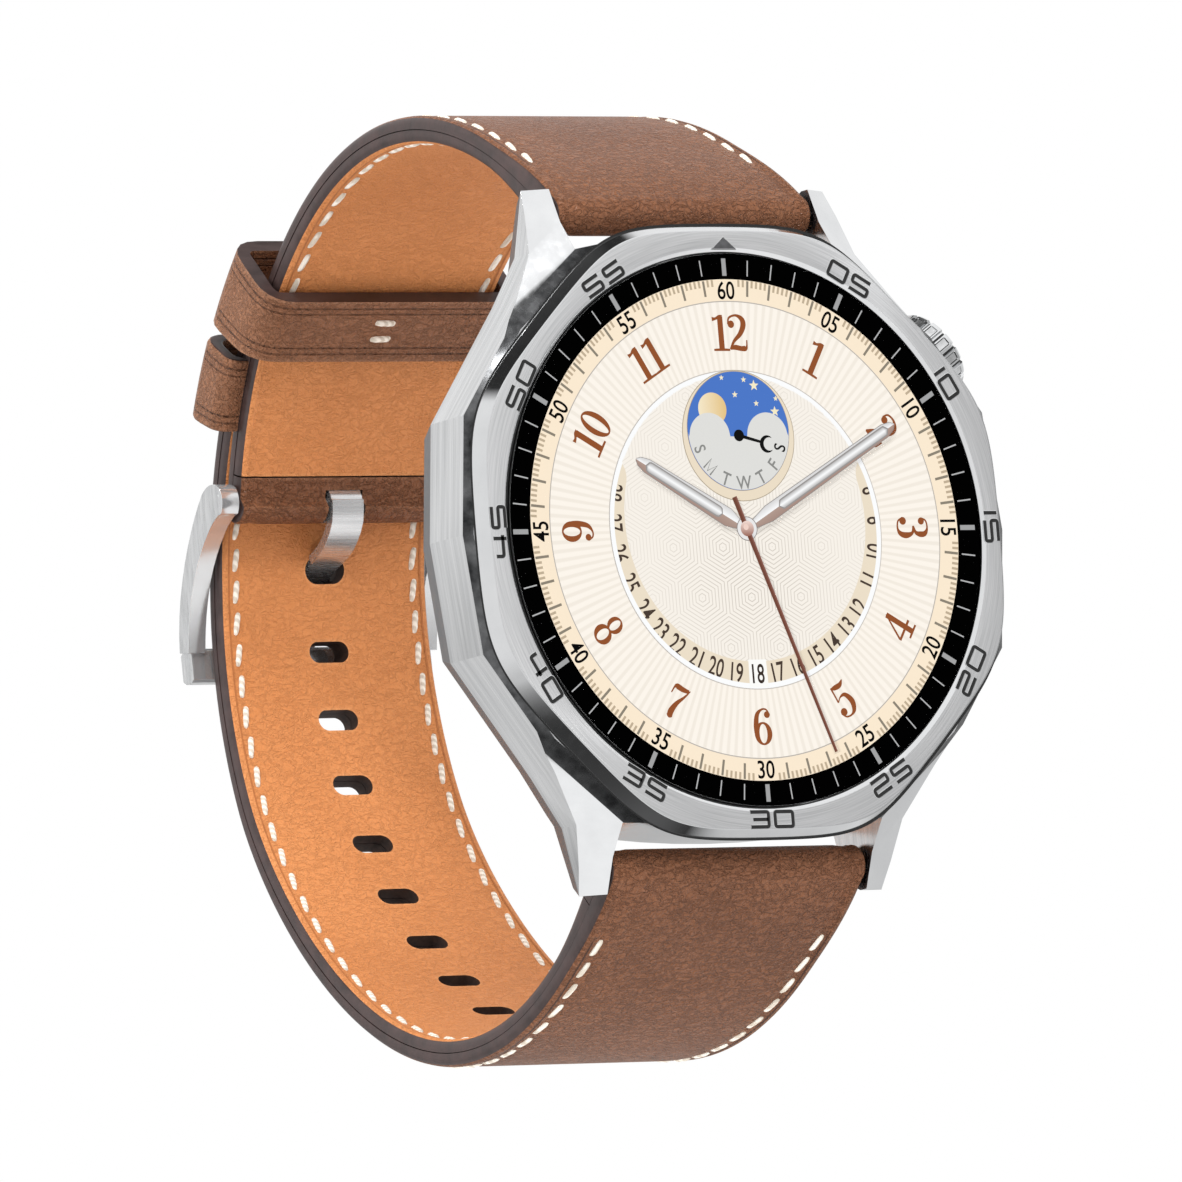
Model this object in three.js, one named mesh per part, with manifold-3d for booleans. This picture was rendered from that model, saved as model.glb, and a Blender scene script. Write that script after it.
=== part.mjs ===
// Smartwatch with a steel case, a round display and a buckled two-layer leather strap.
// Millimetres. +Z runs towards 12 o'clock, +X towards the crown, -Y is the way the dial faces.
// The origin is the middle of the sensor window's flat face, where the watch rests on the wrist.
import * as THREE from 'three';
import { mergeVertices } from 'three/addons/utils/BufferGeometryUtils.js';
import Module from 'manifold-3d';

const wasm = await Module();
wasm.setup();

// ---------- driving dimensions ----------
const ROUND = 64; // sides of the large turned pieces
const SMALL_ROUND = 16; // sides of pins, screws and stems

// Depths along Y, from the dial side to the wrist side.
const BEZEL_TOP_Y = -12.15;
const CRYSTAL_TOP_Y = -12.25;
const CRYSTAL_BACK_Y = -11.35;
const LEDGE_Y = -11.0;
const FLANK_FRONT_Y = -10.5;
const FLANK_BACK_Y = -6.0;
const CASE_BACK_Y = -2.5;
const BACK_COVER_Y = -1.5;

// Case, seen from the front.
const FLANK_X = 23.0; // half width at 9 o'clock
const FLANK_CORNER = [22.1, 8.6]; // where the bowed side turns in
const LUG_ROOT = [16.2, 16.9]; // where the slanted side meets the lug
const LUG_WAIST = [13.9, 20.6];
const LUG_TIP = [12.9, 25.5];
const LUG_SLOT_X = 11.05; // half the gap between a pair of lugs
// Front of a lug falling away towards the wrist: [distance outwards, Y], and the way outwards.
const LUG_FALL = [[22.2, -11.0], [22.95, -9.7], [24.7, -8.0], [26.6, -6.9], [27.8, -6.0]];
const LUG_FALL_DEG = 50.2;
const LEDGE_R = 22.8; // half width across the flats of the front ledge
const BEZEL_BASE_R = 22.2;
const BEZEL_TOP_R = 21.7;
const OCTAGON_SHARPNESS = 16; // higher is a sharper octagon
const CRYSTAL_R = 20.0;
const CAVITY_R = 20.25;
const SCREW_R = 19.3; // circle that the frame screws stand on
const BAR_Y = -6.1; // spring bar axis
const BAR_Z = 23.7;

// Crown at 2 o'clock and button at 4 o'clock, on radial axes.
const CONTROL_ANGLE = THREE.MathUtils.degToRad(33.5);
const CONTROL_Y = -6.8;
const CROWN_R = 3.3;
const CROWN_SEAT_R = 22.2; // the crown sits in a shallow round recess

// Strap loop: each half is a curve from its spring bar, then an arc about one common centre.
const LOOP_Y = 10.4;
const LOOP_Z = 0.25;
const UPPER_R = 34.5;
const LOWER_R = 36.75;
const STRAP_T = 2.05; // both layers together
const LAYER_GAP = 0.05;
const LUG_EXTRA_T = 0.95; // how much thicker the strap is at the lugs
const UPPER_JOIN_DEG = 50;
const BUCKLE_DEG = 16.2;
const LOWER_JOIN_DEG = -20;
const TIP_DEG = 42.5;
const STRAP_HALF_W = 10.85; // at the lugs
const BUCKLE_HALF_W = 9.0;
const HOLE_PITCH = 5.35;
const HOLE_COUNT = 9;
const HOLE_W = 3.4;
const HOLE_H = 1.6;
const TONGUE_HOLE_W = 4.0;
const TONGUE_HOLE_H = 3.5;
const TONGUE_HOLE_DEG = 8.2;
const HOLE_SHIFT = 1.1; // how far the worn hole is stretched towards the tip
const KEEPER_T = 1.2;
const KEEPER_HALF_ARC = 4.7; // degrees
const FREE_KEEPER_DEG = 41.5;
const FIXED_KEEPER_DEG = 29.9;

// Buckle.
const BUCKLE_BAR_R = 0.7;
const FOLD_R = 1.42;
const ARM_T = 1.5;
const ARM_INNER_X = 9.35;

const degrees = THREE.MathUtils.degToRad;

// ---------- finishes ----------
function finish(color, roughness, metalness) {
  return new THREE.MeshStandardMaterial({ color, roughness, metalness });
}
const brushedSteel = finish(0xc9cacb, 0.34, 1.0);
const polishedSteel = finish(0xdadbdc, 0.1, 1.0);
const brownLeather = finish(0x6f4a36, 0.62, 0.0);
const tanLining = finish(0xc98552, 0.7, 0.0);
const blackRubber = finish(0x141414, 0.8, 0.0);
const sapphire = finish(0xe8f2f6, 0.03, 0.0);
const displayBlack = finish(0x0a0a0c, 0.2, 0.0);
const darkComposite = finish(0x2a2b2d, 0.35, 0.0);
const boardGreen = finish(0x1c4a35, 0.55, 0.1);
const shieldMetal = finish(0xb4b6b8, 0.4, 1.0);
const batteryFoil = finish(0x3a3c40, 0.45, 0.3);
const copperWinding = finish(0xb5713c, 0.4, 0.8);
const flexAmber = finish(0x9a6420, 0.5, 0.0);

// ---------- geometry helpers ----------
// Merge shared vertices, drop collapsed triangles and turn the faces outwards.
function closed(geometry) {
  const plain = geometry.clone();
  plain.deleteAttribute('normal');
  plain.deleteAttribute('uv');
  const merged = mergeVertices(plain, 1e-4);
  const points = merged.attributes.position;
  const source = merged.index.array;
  const kept = [];
  let volume = 0;
  const a = new THREE.Vector3();
  const b = new THREE.Vector3();
  const c = new THREE.Vector3();
  for (let i = 0; i < source.length; i += 3) {
    const [p, q, r] = [source[i], source[i + 1], source[i + 2]];
    if (p === q || q === r || r === p) continue;
    kept.push(p, q, r);
    a.fromBufferAttribute(points, p);
    b.fromBufferAttribute(points, q);
    c.fromBufferAttribute(points, r);
    volume += a.dot(b.cross(c));
  }
  if (volume < 0) kept.reverse();
  merged.setIndex(kept);
  return merged;
}

function toSolid(geometry) {
  const body = closed(geometry);
  const vertProperties = new Float32Array(body.attributes.position.array);
  const triVerts = new Uint32Array(body.index.array);
  return new wasm.Manifold(new wasm.Mesh({ numProp: 3, vertProperties, triVerts }));
}

function toGeometry(solid) {
  const mesh = solid.getMesh();
  const geometry = new THREE.BufferGeometry();
  geometry.setAttribute('position', new THREE.BufferAttribute(mesh.vertProperties, mesh.numProp));
  geometry.setIndex(new THREE.BufferAttribute(mesh.triVerts, 1));
  return geometry;
}

function join(...geometries) {
  return toGeometry(geometries.map(toSolid).reduce((sum, next) => sum.add(next)));
}

function carve(geometry, ...tools) {
  return toGeometry(tools.map(toSolid).reduce((rest, tool) => rest.subtract(tool), toSolid(geometry)));
}

function common(first, ...others) {
  return toGeometry(others.map(toSolid).reduce((rest, next) => rest.intersect(next), toSolid(first)));
}

function block(x0, x1, y0, y1, z0, z1) {
  const box = new THREE.BoxGeometry(x1 - x0, y1 - y0, z1 - z0);
  return box.translate((x0 + x1) / 2, (y0 + y1) / 2, (z0 + z1) / 2);
}

function points2(pairs) {
  return pairs.map(([x, y]) => new THREE.Vector2(x, y));
}

// A closed outline of [radius, y] pairs turned about the Y axis.
function turned(profile, sides = ROUND) {
  const first = profile[0];
  const onAxis = first[0] === 0;
  const loop = onAxis ? profile : [...profile, first];
  return new THREE.LatheGeometry(points2(loop), sides);
}

function ring(inner, outer, y0, y1, sides = ROUND) {
  return turned([[inner, y0], [outer, y0], [outer, y1], [inner, y1]], sides);
}

function disc(radius, y0, y1, sides = ROUND) {
  return turned([[0, y0], [radius, y0], [radius, y1], [0, y1]], sides);
}

// A cylinder along X between two places.
function rodX(radius, x0, x1, y, z, sides = SMALL_ROUND) {
  const rod = new THREE.CylinderGeometry(radius, radius, x1 - x0, sides);
  return rod.rotateZ(Math.PI / 2).translate((x0 + x1) / 2, y, z);
}

// A shape drawn in X and Z, given depth from y0 (dial side) to y1 (wrist side).
function plateXZ(shape, y0, y1, options = {}) {
  const settings = { depth: y1 - y0, bevelEnabled: false, curveSegments: 8, ...options };
  const plate = new THREE.ExtrudeGeometry(shape, settings);
  return plate.rotateX(Math.PI / 2).translate(0, y1, 0);
}

// A shape drawn in Y and Z, extruded along X.
const acrossX = new THREE.Matrix4().makeBasis(
  new THREE.Vector3(0, 1, 0), new THREE.Vector3(0, 0, 1), new THREE.Vector3(1, 0, 0));
function plateYZ(shape, x0, x1, curveSegments = 10) {
  const plate = new THREE.ExtrudeGeometry(shape, { depth: x1 - x0, bevelEnabled: false, curveSegments });
  return plate.applyMatrix4(acrossX).translate(x0, 0, 0);
}

// Radius of a soft-cornered octagon at an angle, from its half width across the flats.
function octagonRadius(halfWidth, angle) {
  let sum = 0;
  for (let k = 0; k < 4; k += 1) {
    sum += Math.abs(Math.cos(angle - (k * Math.PI) / 4)) ** OCTAGON_SHARPNESS;
  }
  return halfWidth * sum ** (-1 / OCTAGON_SHARPNESS);
}

// Like turned(), but a point written [halfWidth, y, true] follows the octagon.
function turnedOctagon(profile, sides = ROUND) {
  const geometry = turned(profile, sides);
  const position = geometry.attributes.position;
  const octagonal = new Set(profile.filter((p) => p[2]).map((p) => `${p[0]},${p[1]}`));
  for (let i = 0; i < position.count; i += 1) {
    const radius = Math.hypot(position.getX(i), position.getZ(i));
    const key = [...octagonal].find((text) => {
      const [r, y] = text.split(',').map(Number);
      return Math.abs(r - radius) < 1e-3 && Math.abs(y - position.getY(i)) < 1e-3;
    });
    if (!key) continue;
    const scale = octagonRadius(radius, Math.atan2(position.getZ(i), position.getX(i))) / radius;
    position.setXYZ(i, position.getX(i) * scale, position.getY(i), position.getZ(i) * scale);
  }
  return geometry;
}

// ---------- the assembly ----------
const watch = new THREE.Group();

function addPiece(name, geometry, material, parent = watch) {
  const mesh = new THREE.Mesh(closed(geometry), material);
  mesh.name = name;
  parent.add(mesh);
  return mesh;
}

// ---------- case ----------
function flankOutline() {
  const quarter = [FLANK_CORNER, LUG_ROOT, LUG_WAIST, LUG_TIP];
  const right = [[FLANK_X, 0], ...quarter];
  const left = [...right].reverse().map(([x, z]) => [-x, z]);
  const upper = [...right, ...left];
  const lower = [...upper.slice(1, -1)].reverse().map(([x, z]) => [x, -z]);
  return new THREE.Shape(points2([...upper, ...lower]));
}

// Side view of the case with its lugs curving down towards the wrist.
function caseSideProfile() {
  const half = [[FLANK_FRONT_Y - 2, 0], [FLANK_FRONT_Y - 2, 25.5], [-5.0, 25.5], [-4.2, 24.6],
    [CASE_BACK_Y, 19.2], [CASE_BACK_Y, 0]];
  const mirrored = half.slice(1, -1).reverse().map(([y, z]) => [y, -z]);
  return new THREE.Shape(points2([...half, ...mirrored]));
}

// What is taken off the front of one lug, outwards along an angle from the X axis.
function lugFall(angle) {
  const deepest = LUG_FALL.at(-1)[1];
  const side = new THREE.Shape(points2([[LUG_FALL[0][0], -14], ...LUG_FALL, [31, deepest], [31, -14]]));
  const wedge = new THREE.ExtrudeGeometry(side, { depth: 40, bevelEnabled: false });
  return wedge.translate(0, 0, -20).rotateY(-degrees(angle));
}

// The space between a pair of lugs, with the case wall bowed outwards.
function lugSlot(side) {
  const wallMiddle = 21.6;
  const wallEnd = 20.7;
  const far = 28;
  const slot = new THREE.Shape();
  slot.moveTo(-LUG_SLOT_X, side * wallEnd);
  slot.quadraticCurveTo(0, side * (2 * wallMiddle - wallEnd), LUG_SLOT_X, side * wallEnd);
  slot.lineTo(LUG_SLOT_X, side * far);
  slot.lineTo(-LUG_SLOT_X, side * far);
  return plateXZ(slot, FLANK_FRONT_Y - 3, CASE_BACK_Y + 1);
}

function radialAxis(group, side) {
  group.position.set(0, CONTROL_Y, 0);
  group.rotation.y = -side * CONTROL_ANGLE;
  return group;
}

// A cylinder on one of the two radial control axes, between two distances from the middle.
function controlBore(radius, from, to, side) {
  const bore = rodX(radius, from, to, 0, 0);
  return bore.rotateY(-side * CONTROL_ANGLE).translate(0, CONTROL_Y, 0);
}

function buttonOutline(halfLength, halfHeight) {
  const pill = new THREE.Shape();
  pill.absarc(0, halfLength - halfHeight, halfHeight, 0, Math.PI, false);
  pill.absarc(0, halfHeight - halfLength, halfHeight, Math.PI, 2 * Math.PI, false);
  return pill;
}

function makeMidCase() {
  const outline = flankOutline();
  const softBack = { bevelEnabled: true, bevelThickness: 3.5, bevelSize: 1.6, bevelOffset: -1.6, bevelSegments: 1 };
  const softFront = { bevelEnabled: true, bevelThickness: 0.5, bevelSize: 0.6, bevelOffset: -0.6, bevelSegments: 1 };
  const backHalf = plateXZ(outline, FLANK_FRONT_Y - 4, FLANK_BACK_Y, softBack);
  const frontHalf = plateXZ(outline, FLANK_FRONT_Y, CASE_BACK_Y + 4, softFront);
  const shoulder = turned([[0, LEDGE_Y], [LEDGE_R - 0.6, LEDGE_Y], [LEDGE_R + 0.7, LEDGE_Y], [27, -9.6],
    [31, -7.0], [31, 2], [0, 2]]);
  const shell = common(backHalf, frontHalf, shoulder, plateYZ(caseSideProfile(), -25, 25));
  const upperEars = [];
  for (const z of [-BAR_Z, BAR_Z]) upperEars.push(rodX(0.6, -12.3, 12.3, BAR_Y, z, 12));
  const screwHoles = [];
  for (let k = 0; k < 4; k += 1) {
    const angle = Math.PI / 4 + (k * Math.PI) / 2;
    const hole = disc(0.5, -5.6, -4.3, 12);
    screwHoles.push(hole.translate(SCREW_R * Math.cos(angle), 0, SCREW_R * Math.sin(angle)));
  }
  const buttonPocket = plateYZ(buttonOutline(3.75, 1.65), 21.7, 25);
  return carve(
    shell,
    disc(21.05, LEDGE_Y - 1, -9.4),
    disc(CAVITY_R, -9.6, -5.2),
    disc(18.4, -5.4, -3.7),
    disc(20.45, -3.9, CASE_BACK_Y + 1),
    lugSlot(1),
    lugSlot(-1),
    ...[LUG_FALL_DEG, 180 - LUG_FALL_DEG, 180 + LUG_FALL_DEG, 360 - LUG_FALL_DEG].map(lugFall),
    controlBore(1.65, 19, 26, 1),
    controlBore(CROWN_R + 0.35, CROWN_SEAT_R, 27, 1),
    controlBore(1.25, 19, 26, -1),
    buttonPocket.rotateY(CONTROL_ANGLE).translate(0, CONTROL_Y, 0),
    ...upperEars,
    ...screwHoles,
  );
}

function addCase() {
  addPiece('mid_case', makeMidCase(), brushedSteel);
  addPiece('bezel_ring', turnedOctagon([[20.1, BEZEL_TOP_Y], [20.1, -11.05], [19.4, -11.05], [19.4, -9.8],
    [20.95, -9.8], [20.95, LEDGE_Y], [BEZEL_BASE_R, LEDGE_Y, true], [BEZEL_TOP_R, BEZEL_TOP_Y + 0.1, true],
    [21.4, BEZEL_TOP_Y, true]], 96), brushedSteel);
  addPiece('crystal', turned([[0, CRYSTAL_BACK_Y], [CRYSTAL_R, CRYSTAL_BACK_Y], [CRYSTAL_R, CRYSTAL_TOP_Y + 0.2],
    [CRYSTAL_R - 0.25, CRYSTAL_TOP_Y], [0, CRYSTAL_TOP_Y]]), sapphire);
  addPiece('crystal_gasket', ring(19.45, 19.95, -11.32, -11.08), blackRubber);
  addPiece('bezel_gasket', ring(20.35, 20.9, -9.75, -9.45), blackRubber);
  addPiece('back_gasket', ring(18.7, 19.9, -3.85, -3.45), blackRubber);
  addPiece('back_cover', turned([[9.9, -3.0], [9.9, -2.5], [11.2, -2.5], [11.2, -1.65], [12.4, BACK_COVER_Y],
    [17.6, BACK_COVER_Y], [20.2, -2.2], [20.2, -3.4], [17.2, -3.4], [17.2, -3.0]]), darkComposite);
  addPiece('sensor_window', turned([[0, -1.9], [9.7, -1.9], [9.7, -2.4], [11.05, -2.4], [11.05, -1.5],
    [10.4, -0.75], [9.3, -0.3], [7.9, -0.06], [6.8, 0], [0, 0]]), displayBlack);
}

// ---------- inside the case ----------
function addElectronics() {
  addPiece('display_panel', disc(18.9, -11.3, -10.4), displayBlack);
  const flexPath = [[-10.3, -15], [-10.3, -18.05], [-9.03, -18.05], [-9.03, -16.9], [-9.15, -16.9],
    [-9.15, -17.93], [-10.18, -17.93], [-10.18, -15]];
  addPiece('display_flex', plateYZ(new THREE.Shape(points2(flexPath)), -1.8, 1.8), flexAmber);
  addPiece('main_board', disc(17.9, -9.9, -9.3, 48), boardGreen);
  addPiece('shield_can_large', block(-11, 3, -9.25, -7.6, 6, 13.8), shieldMetal);
  addPiece('shield_can_small', block(4.5, 11, -9.25, -7.8, 6, 12.8), shieldMetal);
  addPiece('battery', block(-11.8, 11.8, -9.2, -5.7, -12.4, 4.6), batteryFoil);
  addPiece('haptic_motor', block(-6, 2, -9.2, -6.2, -16.5, -13.2), shieldMetal);
  addPiece('speaker', block(3, 7.8, -9.2, -6.4, -15.9, -13.0), darkComposite);
  addPiece('microphone', block(-10.4, -8, -9.2, -8.3, -14.5, -13.2), shieldMetal);
  addPiece('sensor_board', join(disc(9.6, -3.5, -2.9, 32), disc(1.3, -3.0, -2.1, 16),
    block(-5.2, -3.2, -3.0, -2.1, -1.2, 1.2), block(3.2, 5.2, -3.0, -2.1, -1.2, 1.2),
    block(-1.2, 1.2, -3.0, -2.1, 3.2, 5.2), block(-1.2, 1.2, -3.0, -2.1, -5.2, -3.2)), boardGreen);
  addPiece('charging_coil', ring(10.1, 16.4, -3.6, -3.05, 48), copperWinding);
}

function addInnerFrame() {
  const body = join(ring(18.2, 20.1, -9.3, -5.25), disc(18.5, -5.6, -5.25));
  const cuts = [controlBore(1.3, 16, 22, 1), controlBore(1.0, 16, 22, -1), disc(9.0, -6, -5, 32)];
  for (let k = 0; k < 4; k += 1) {
    const angle = Math.PI / 4 + (k * Math.PI) / 2;
    const x = SCREW_R * Math.cos(angle);
    const z = SCREW_R * Math.sin(angle);
    cuts.push(disc(0.55, -9.8, -5, 12).translate(x, 0, z));
    const screw = turned([[0, -9.8], [0.75, -9.8], [0.75, -9.35], [0.42, -9.35], [0.42, -4.5], [0, -4.5]], 12);
    addPiece(`frame_screw_${k + 1}`, screw.translate(x, 0, z), shieldMetal);
  }
  addPiece('inner_frame', carve(body, ...cuts), darkComposite);
}

// ---------- crown and button ----------
// The group's own X axis is the control's radial axis, so lengths are distances from the middle.
function knobShape() {
  const flutes = 16;
  const steps = flutes * 4;
  const knob = new THREE.Shape();
  for (let i = 0; i < steps; i += 1) {
    const radius = i % 4 < 2 ? CROWN_R : CROWN_R - 0.28;
    const angle = (i / steps) * 2 * Math.PI;
    const x = radius * Math.cos(angle);
    const y = radius * Math.sin(angle);
    if (i === 0) knob.moveTo(x, y);
    else knob.lineTo(x, y);
  }
  return knob;
}

function turnedX(profile, sides = SMALL_ROUND) {
  return turned(profile, sides).rotateZ(-Math.PI / 2);
}

function addCrown() {
  const group = radialAxis(new THREE.Group(), 1);
  watch.add(group);
  const inner = 22.7;
  const outer = 24.8;
  const socketDepth = 1.3;
  const knob = carve(
    join(plateYZ(knobShape(), inner, outer), turnedX([[0, outer - 0.2], [2.9, outer - 0.2], [2.6, outer + 0.25],
      [0, outer + 0.35]], 24)),
    rodX(1.2, inner - 1, inner + socketDepth, 0, 0),
  );
  addPiece('crown_knob', knob, polishedSteel, group);
  addPiece('crown_stem', turnedX([[0, 17.3], [0.6, 17.3], [0.85, 17.6], [0.85, inner + socketDepth - 0.3],
    [0, inner + socketDepth - 0.3]]), polishedSteel, group);
  addPiece('crown_tube', turnedX([[1.3, 20.45], [1.6, 20.45], [1.6, 21.9], [1.3, 21.9]]), brushedSteel, group);
  addPiece('crown_seal', turnedX([[0.9, 21.0], [1.22, 21.0], [1.22, 21.45], [0.9, 21.45]]), blackRubber, group);
  addPiece('crown_encoder', block(14.3, 16.8, -1.2, 1.2, -1.4, 1.4), darkComposite, group);
}

function addButton() {
  const group = radialAxis(new THREE.Group(), -1);
  watch.add(group);
  const inner = 22.15;
  const cap = carve(plateYZ(buttonOutline(3.4, 1.3), inner, 23.3), rodX(0.95, inner - 1, inner + 0.7, 0, 0));
  addPiece('button_cap', cap, brushedSteel, group);
  addPiece('button_stem', turnedX([[0, 17.5], [0.6, 17.5], [0.6, inner + 0.4], [0, inner + 0.4]]),
    polishedSteel, group);
  addPiece('button_seal', turnedX([[0.65, 20.9], [1.15, 20.9], [1.15, 21.35], [0.65, 21.35]]), blackRubber, group);
  addPiece('button_switch', block(15.2, 17.05, -1.0, 1.0, -1.4, 1.4), darkComposite, group);
}

// ---------- quick-release spring bars ----------
function addSpringBar(label, side) {
  const z = side * BAR_Z;
  const tube = carve(join(rodX(0.9, -10.3, 9.9, BAR_Y, z, 12), rodX(0.5, -12.1, -10.2, BAR_Y, z, 12)),
    rodX(0.6, -4, 11, BAR_Y, z, 12), block(5.4, 8.6, BAR_Y, BAR_Y + 2, z - 0.35, z + 0.35));
  addPiece(`${label}_bar_tube`, tube, brushedSteel);
  const pin = join(rodX(0.5, 3.0, 12.1, BAR_Y, z, 12), block(7.6, 8.3, BAR_Y, BAR_Y + 1.75, z - 0.25, z + 0.25));
  addPiece(`${label}_bar_pin`, pin, brushedSteel);
}

// ---------- strap ----------
function loopPoint(radius, deg) {
  const angle = degrees(deg);
  return new THREE.Vector2(LOOP_Y + radius * Math.cos(angle), LOOP_Z + radius * Math.sin(angle));
}

// From the spring bar to the common arc, then along the arc to its last angle.
function strapPath(side, headingDeg, startReach, endReach, radius, joinDeg, endDeg) {
  const start = new THREE.Vector2(BAR_Y, side * BAR_Z);
  const heading = degrees(headingDeg);
  const joint = loopPoint(radius, joinDeg);
  const turn = side > 0 ? 1 : -1;
  const tangent = new THREE.Vector2(Math.sin(degrees(joinDeg)), -Math.cos(degrees(joinDeg))).multiplyScalar(turn);
  const path = new THREE.CurvePath();
  path.add(new THREE.CubicBezierCurve(
    start,
    new THREE.Vector2(start.x + startReach * Math.cos(heading), start.y + startReach * Math.sin(heading)),
    new THREE.Vector2(joint.x - endReach * tangent.x, joint.y - endReach * tangent.y),
    joint,
  ));
  path.add(new THREE.EllipseCurve(LOOP_Y, LOOP_Z, radius, radius, degrees(joinDeg), degrees(endDeg), side > 0));
  path.arcLengthDivisions = 400;
  return { path, length: path.getLength(), outward: turn };
}
const upperStrap = strapPath(1, 42.1, 15.8, 15.9, UPPER_R, UPPER_JOIN_DEG, BUCKLE_DEG);
const lowerStrap = strapPath(-1, -46.7, 32.6, 13.7, LOWER_R, LOWER_JOIN_DEG, TIP_DEG);

function strapFrame(strap, s) {
  const u = THREE.MathUtils.clamp(s / strap.length, 0, 1);
  const point = strap.path.getPoint(u);
  const ahead = strap.path.getTangent(u);
  const out = new THREE.Vector2(-ahead.y, ahead.x).multiplyScalar(strap.outward);
  return { point, ahead, out };
}

function halfThickness(s) {
  const lugPart = THREE.MathUtils.smoothstep(10 - s, 0, 9);
  return STRAP_T / 2 + (LUG_EXTRA_T / 2) * lugPart;
}

function upperHalfWidth(s) {
  return THREE.MathUtils.lerp(STRAP_HALF_W, BUCKLE_HALF_W, THREE.MathUtils.clamp(s / upperStrap.length, 0, 1));
}

function lowerHalfWidth(s) {
  const taperLength = 80;
  const tipLength = 8;
  const body = THREE.MathUtils.lerp(STRAP_HALF_W, BUCKLE_HALF_W, Math.min(s / taperLength, 1));
  const intoTip = Math.max(0, s - (lowerStrap.length - tipLength)) / tipLength;
  return Math.max(2.2, body * Math.sqrt(1 - (0.985 * intoTip) ** 2));
}

// A flat strip of leather bent along the strap. Heights are -1 on the lining side to 1 outside.
function strip(strap, widthAt, s0, s1, low, high, steps) {
  const box = new THREE.BoxGeometry(1, 1, 1, steps, 1, 1);
  const position = box.attributes.position;
  for (let i = 0; i < position.count; i += 1) {
    const s = THREE.MathUtils.lerp(s0, s1, position.getX(i) + 0.5);
    const level = position.getY(i) > 0 ? high : low;
    const offset = level[0] * halfThickness(s) + level[1];
    const frame = strapFrame(strap, s);
    position.setXYZ(i, 2 * position.getZ(i) * widthAt(s),
      frame.point.x + frame.out.x * offset, frame.point.y + frame.out.y * offset);
  }
  return box;
}
const OUTER_FACE = [1, 0];
const LINING_FACE = [-1, 0];
const SEAM_LOW = [0, -LAYER_GAP / 2];
const SEAM_HIGH = [0, LAYER_GAP / 2];

// A slot through the strap, its long side across the strap.
function strapSlot(strap, s, width, height) {
  const slot = new THREE.Shape();
  const r = height / 2;
  slot.absarc(width / 2 - r, 0, r, -Math.PI / 2, Math.PI / 2, false);
  slot.absarc(r - width / 2, 0, r, Math.PI / 2, 1.5 * Math.PI, false);
  const tool = new THREE.ExtrudeGeometry(slot, { depth: 6, bevelEnabled: false, curveSegments: 6 });
  const frame = strapFrame(strap, s);
  const basis = new THREE.Matrix4().makeBasis(new THREE.Vector3(1, 0, 0),
    new THREE.Vector3(0, -frame.ahead.x, -frame.ahead.y), new THREE.Vector3(0, -frame.ahead.y, frame.ahead.x));
  const middle = new THREE.Vector3(0, frame.point.x, frame.point.y);
  return tool.translate(0, 0, -3).applyMatrix4(basis).translate(middle.x, middle.y, middle.z);
}

function holeTools() {
  const arcAfterHole = degrees(TIP_DEG - TONGUE_HOLE_DEG) * LOWER_R;
  const tongueHole = lowerStrap.length - arcAfterHole;
  const tools = [];
  for (let k = 0; k < HOLE_COUNT; k += 1) {
    const width = k === 0 ? TONGUE_HOLE_W : HOLE_W;
    const height = k === 0 ? TONGUE_HOLE_H : HOLE_H;
    tools.push(strapSlot(lowerStrap, tongueHole - k * HOLE_PITCH - (k === 0 ? 0 : HOLE_SHIFT), width, height));
  }
  return tools;
}

// Leather rolled round a spring bar, with the notch for the release lever.
function lugEnd(side) {
  const radius = (STRAP_T + LUG_EXTRA_T) / 2;
  return rodX(radius, -STRAP_HALF_W, STRAP_HALF_W, BAR_Y, side * BAR_Z, 24);
}

function lugEndCuts(side) {
  const z = side * BAR_Z;
  return [rodX(1.0, -12, 12, BAR_Y, z, 16), block(5.2, 8.8, BAR_Y, BAR_Y + 2.6, z - side * 1.2, z + side * 1.3)];
}

// Where the buckle bar lies: a little inside the middle of the upper strap's last point.
const buckleBar = loopPoint(UPPER_R - 0.3, BUCKLE_DEG);
const foldStart = upperStrap.length - 2.2;

function buckleFoldCuts() {
  const slot = block(-1.6, 1.6, -3.2, 3.2, -3, 1.9).rotateX(degrees(BUCKLE_DEG));
  return [rodX(BUCKLE_BAR_R + 0.12, -12, 12, buckleBar.x, buckleBar.y), slot.translate(0, buckleBar.x, buckleBar.y)];
}

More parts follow.
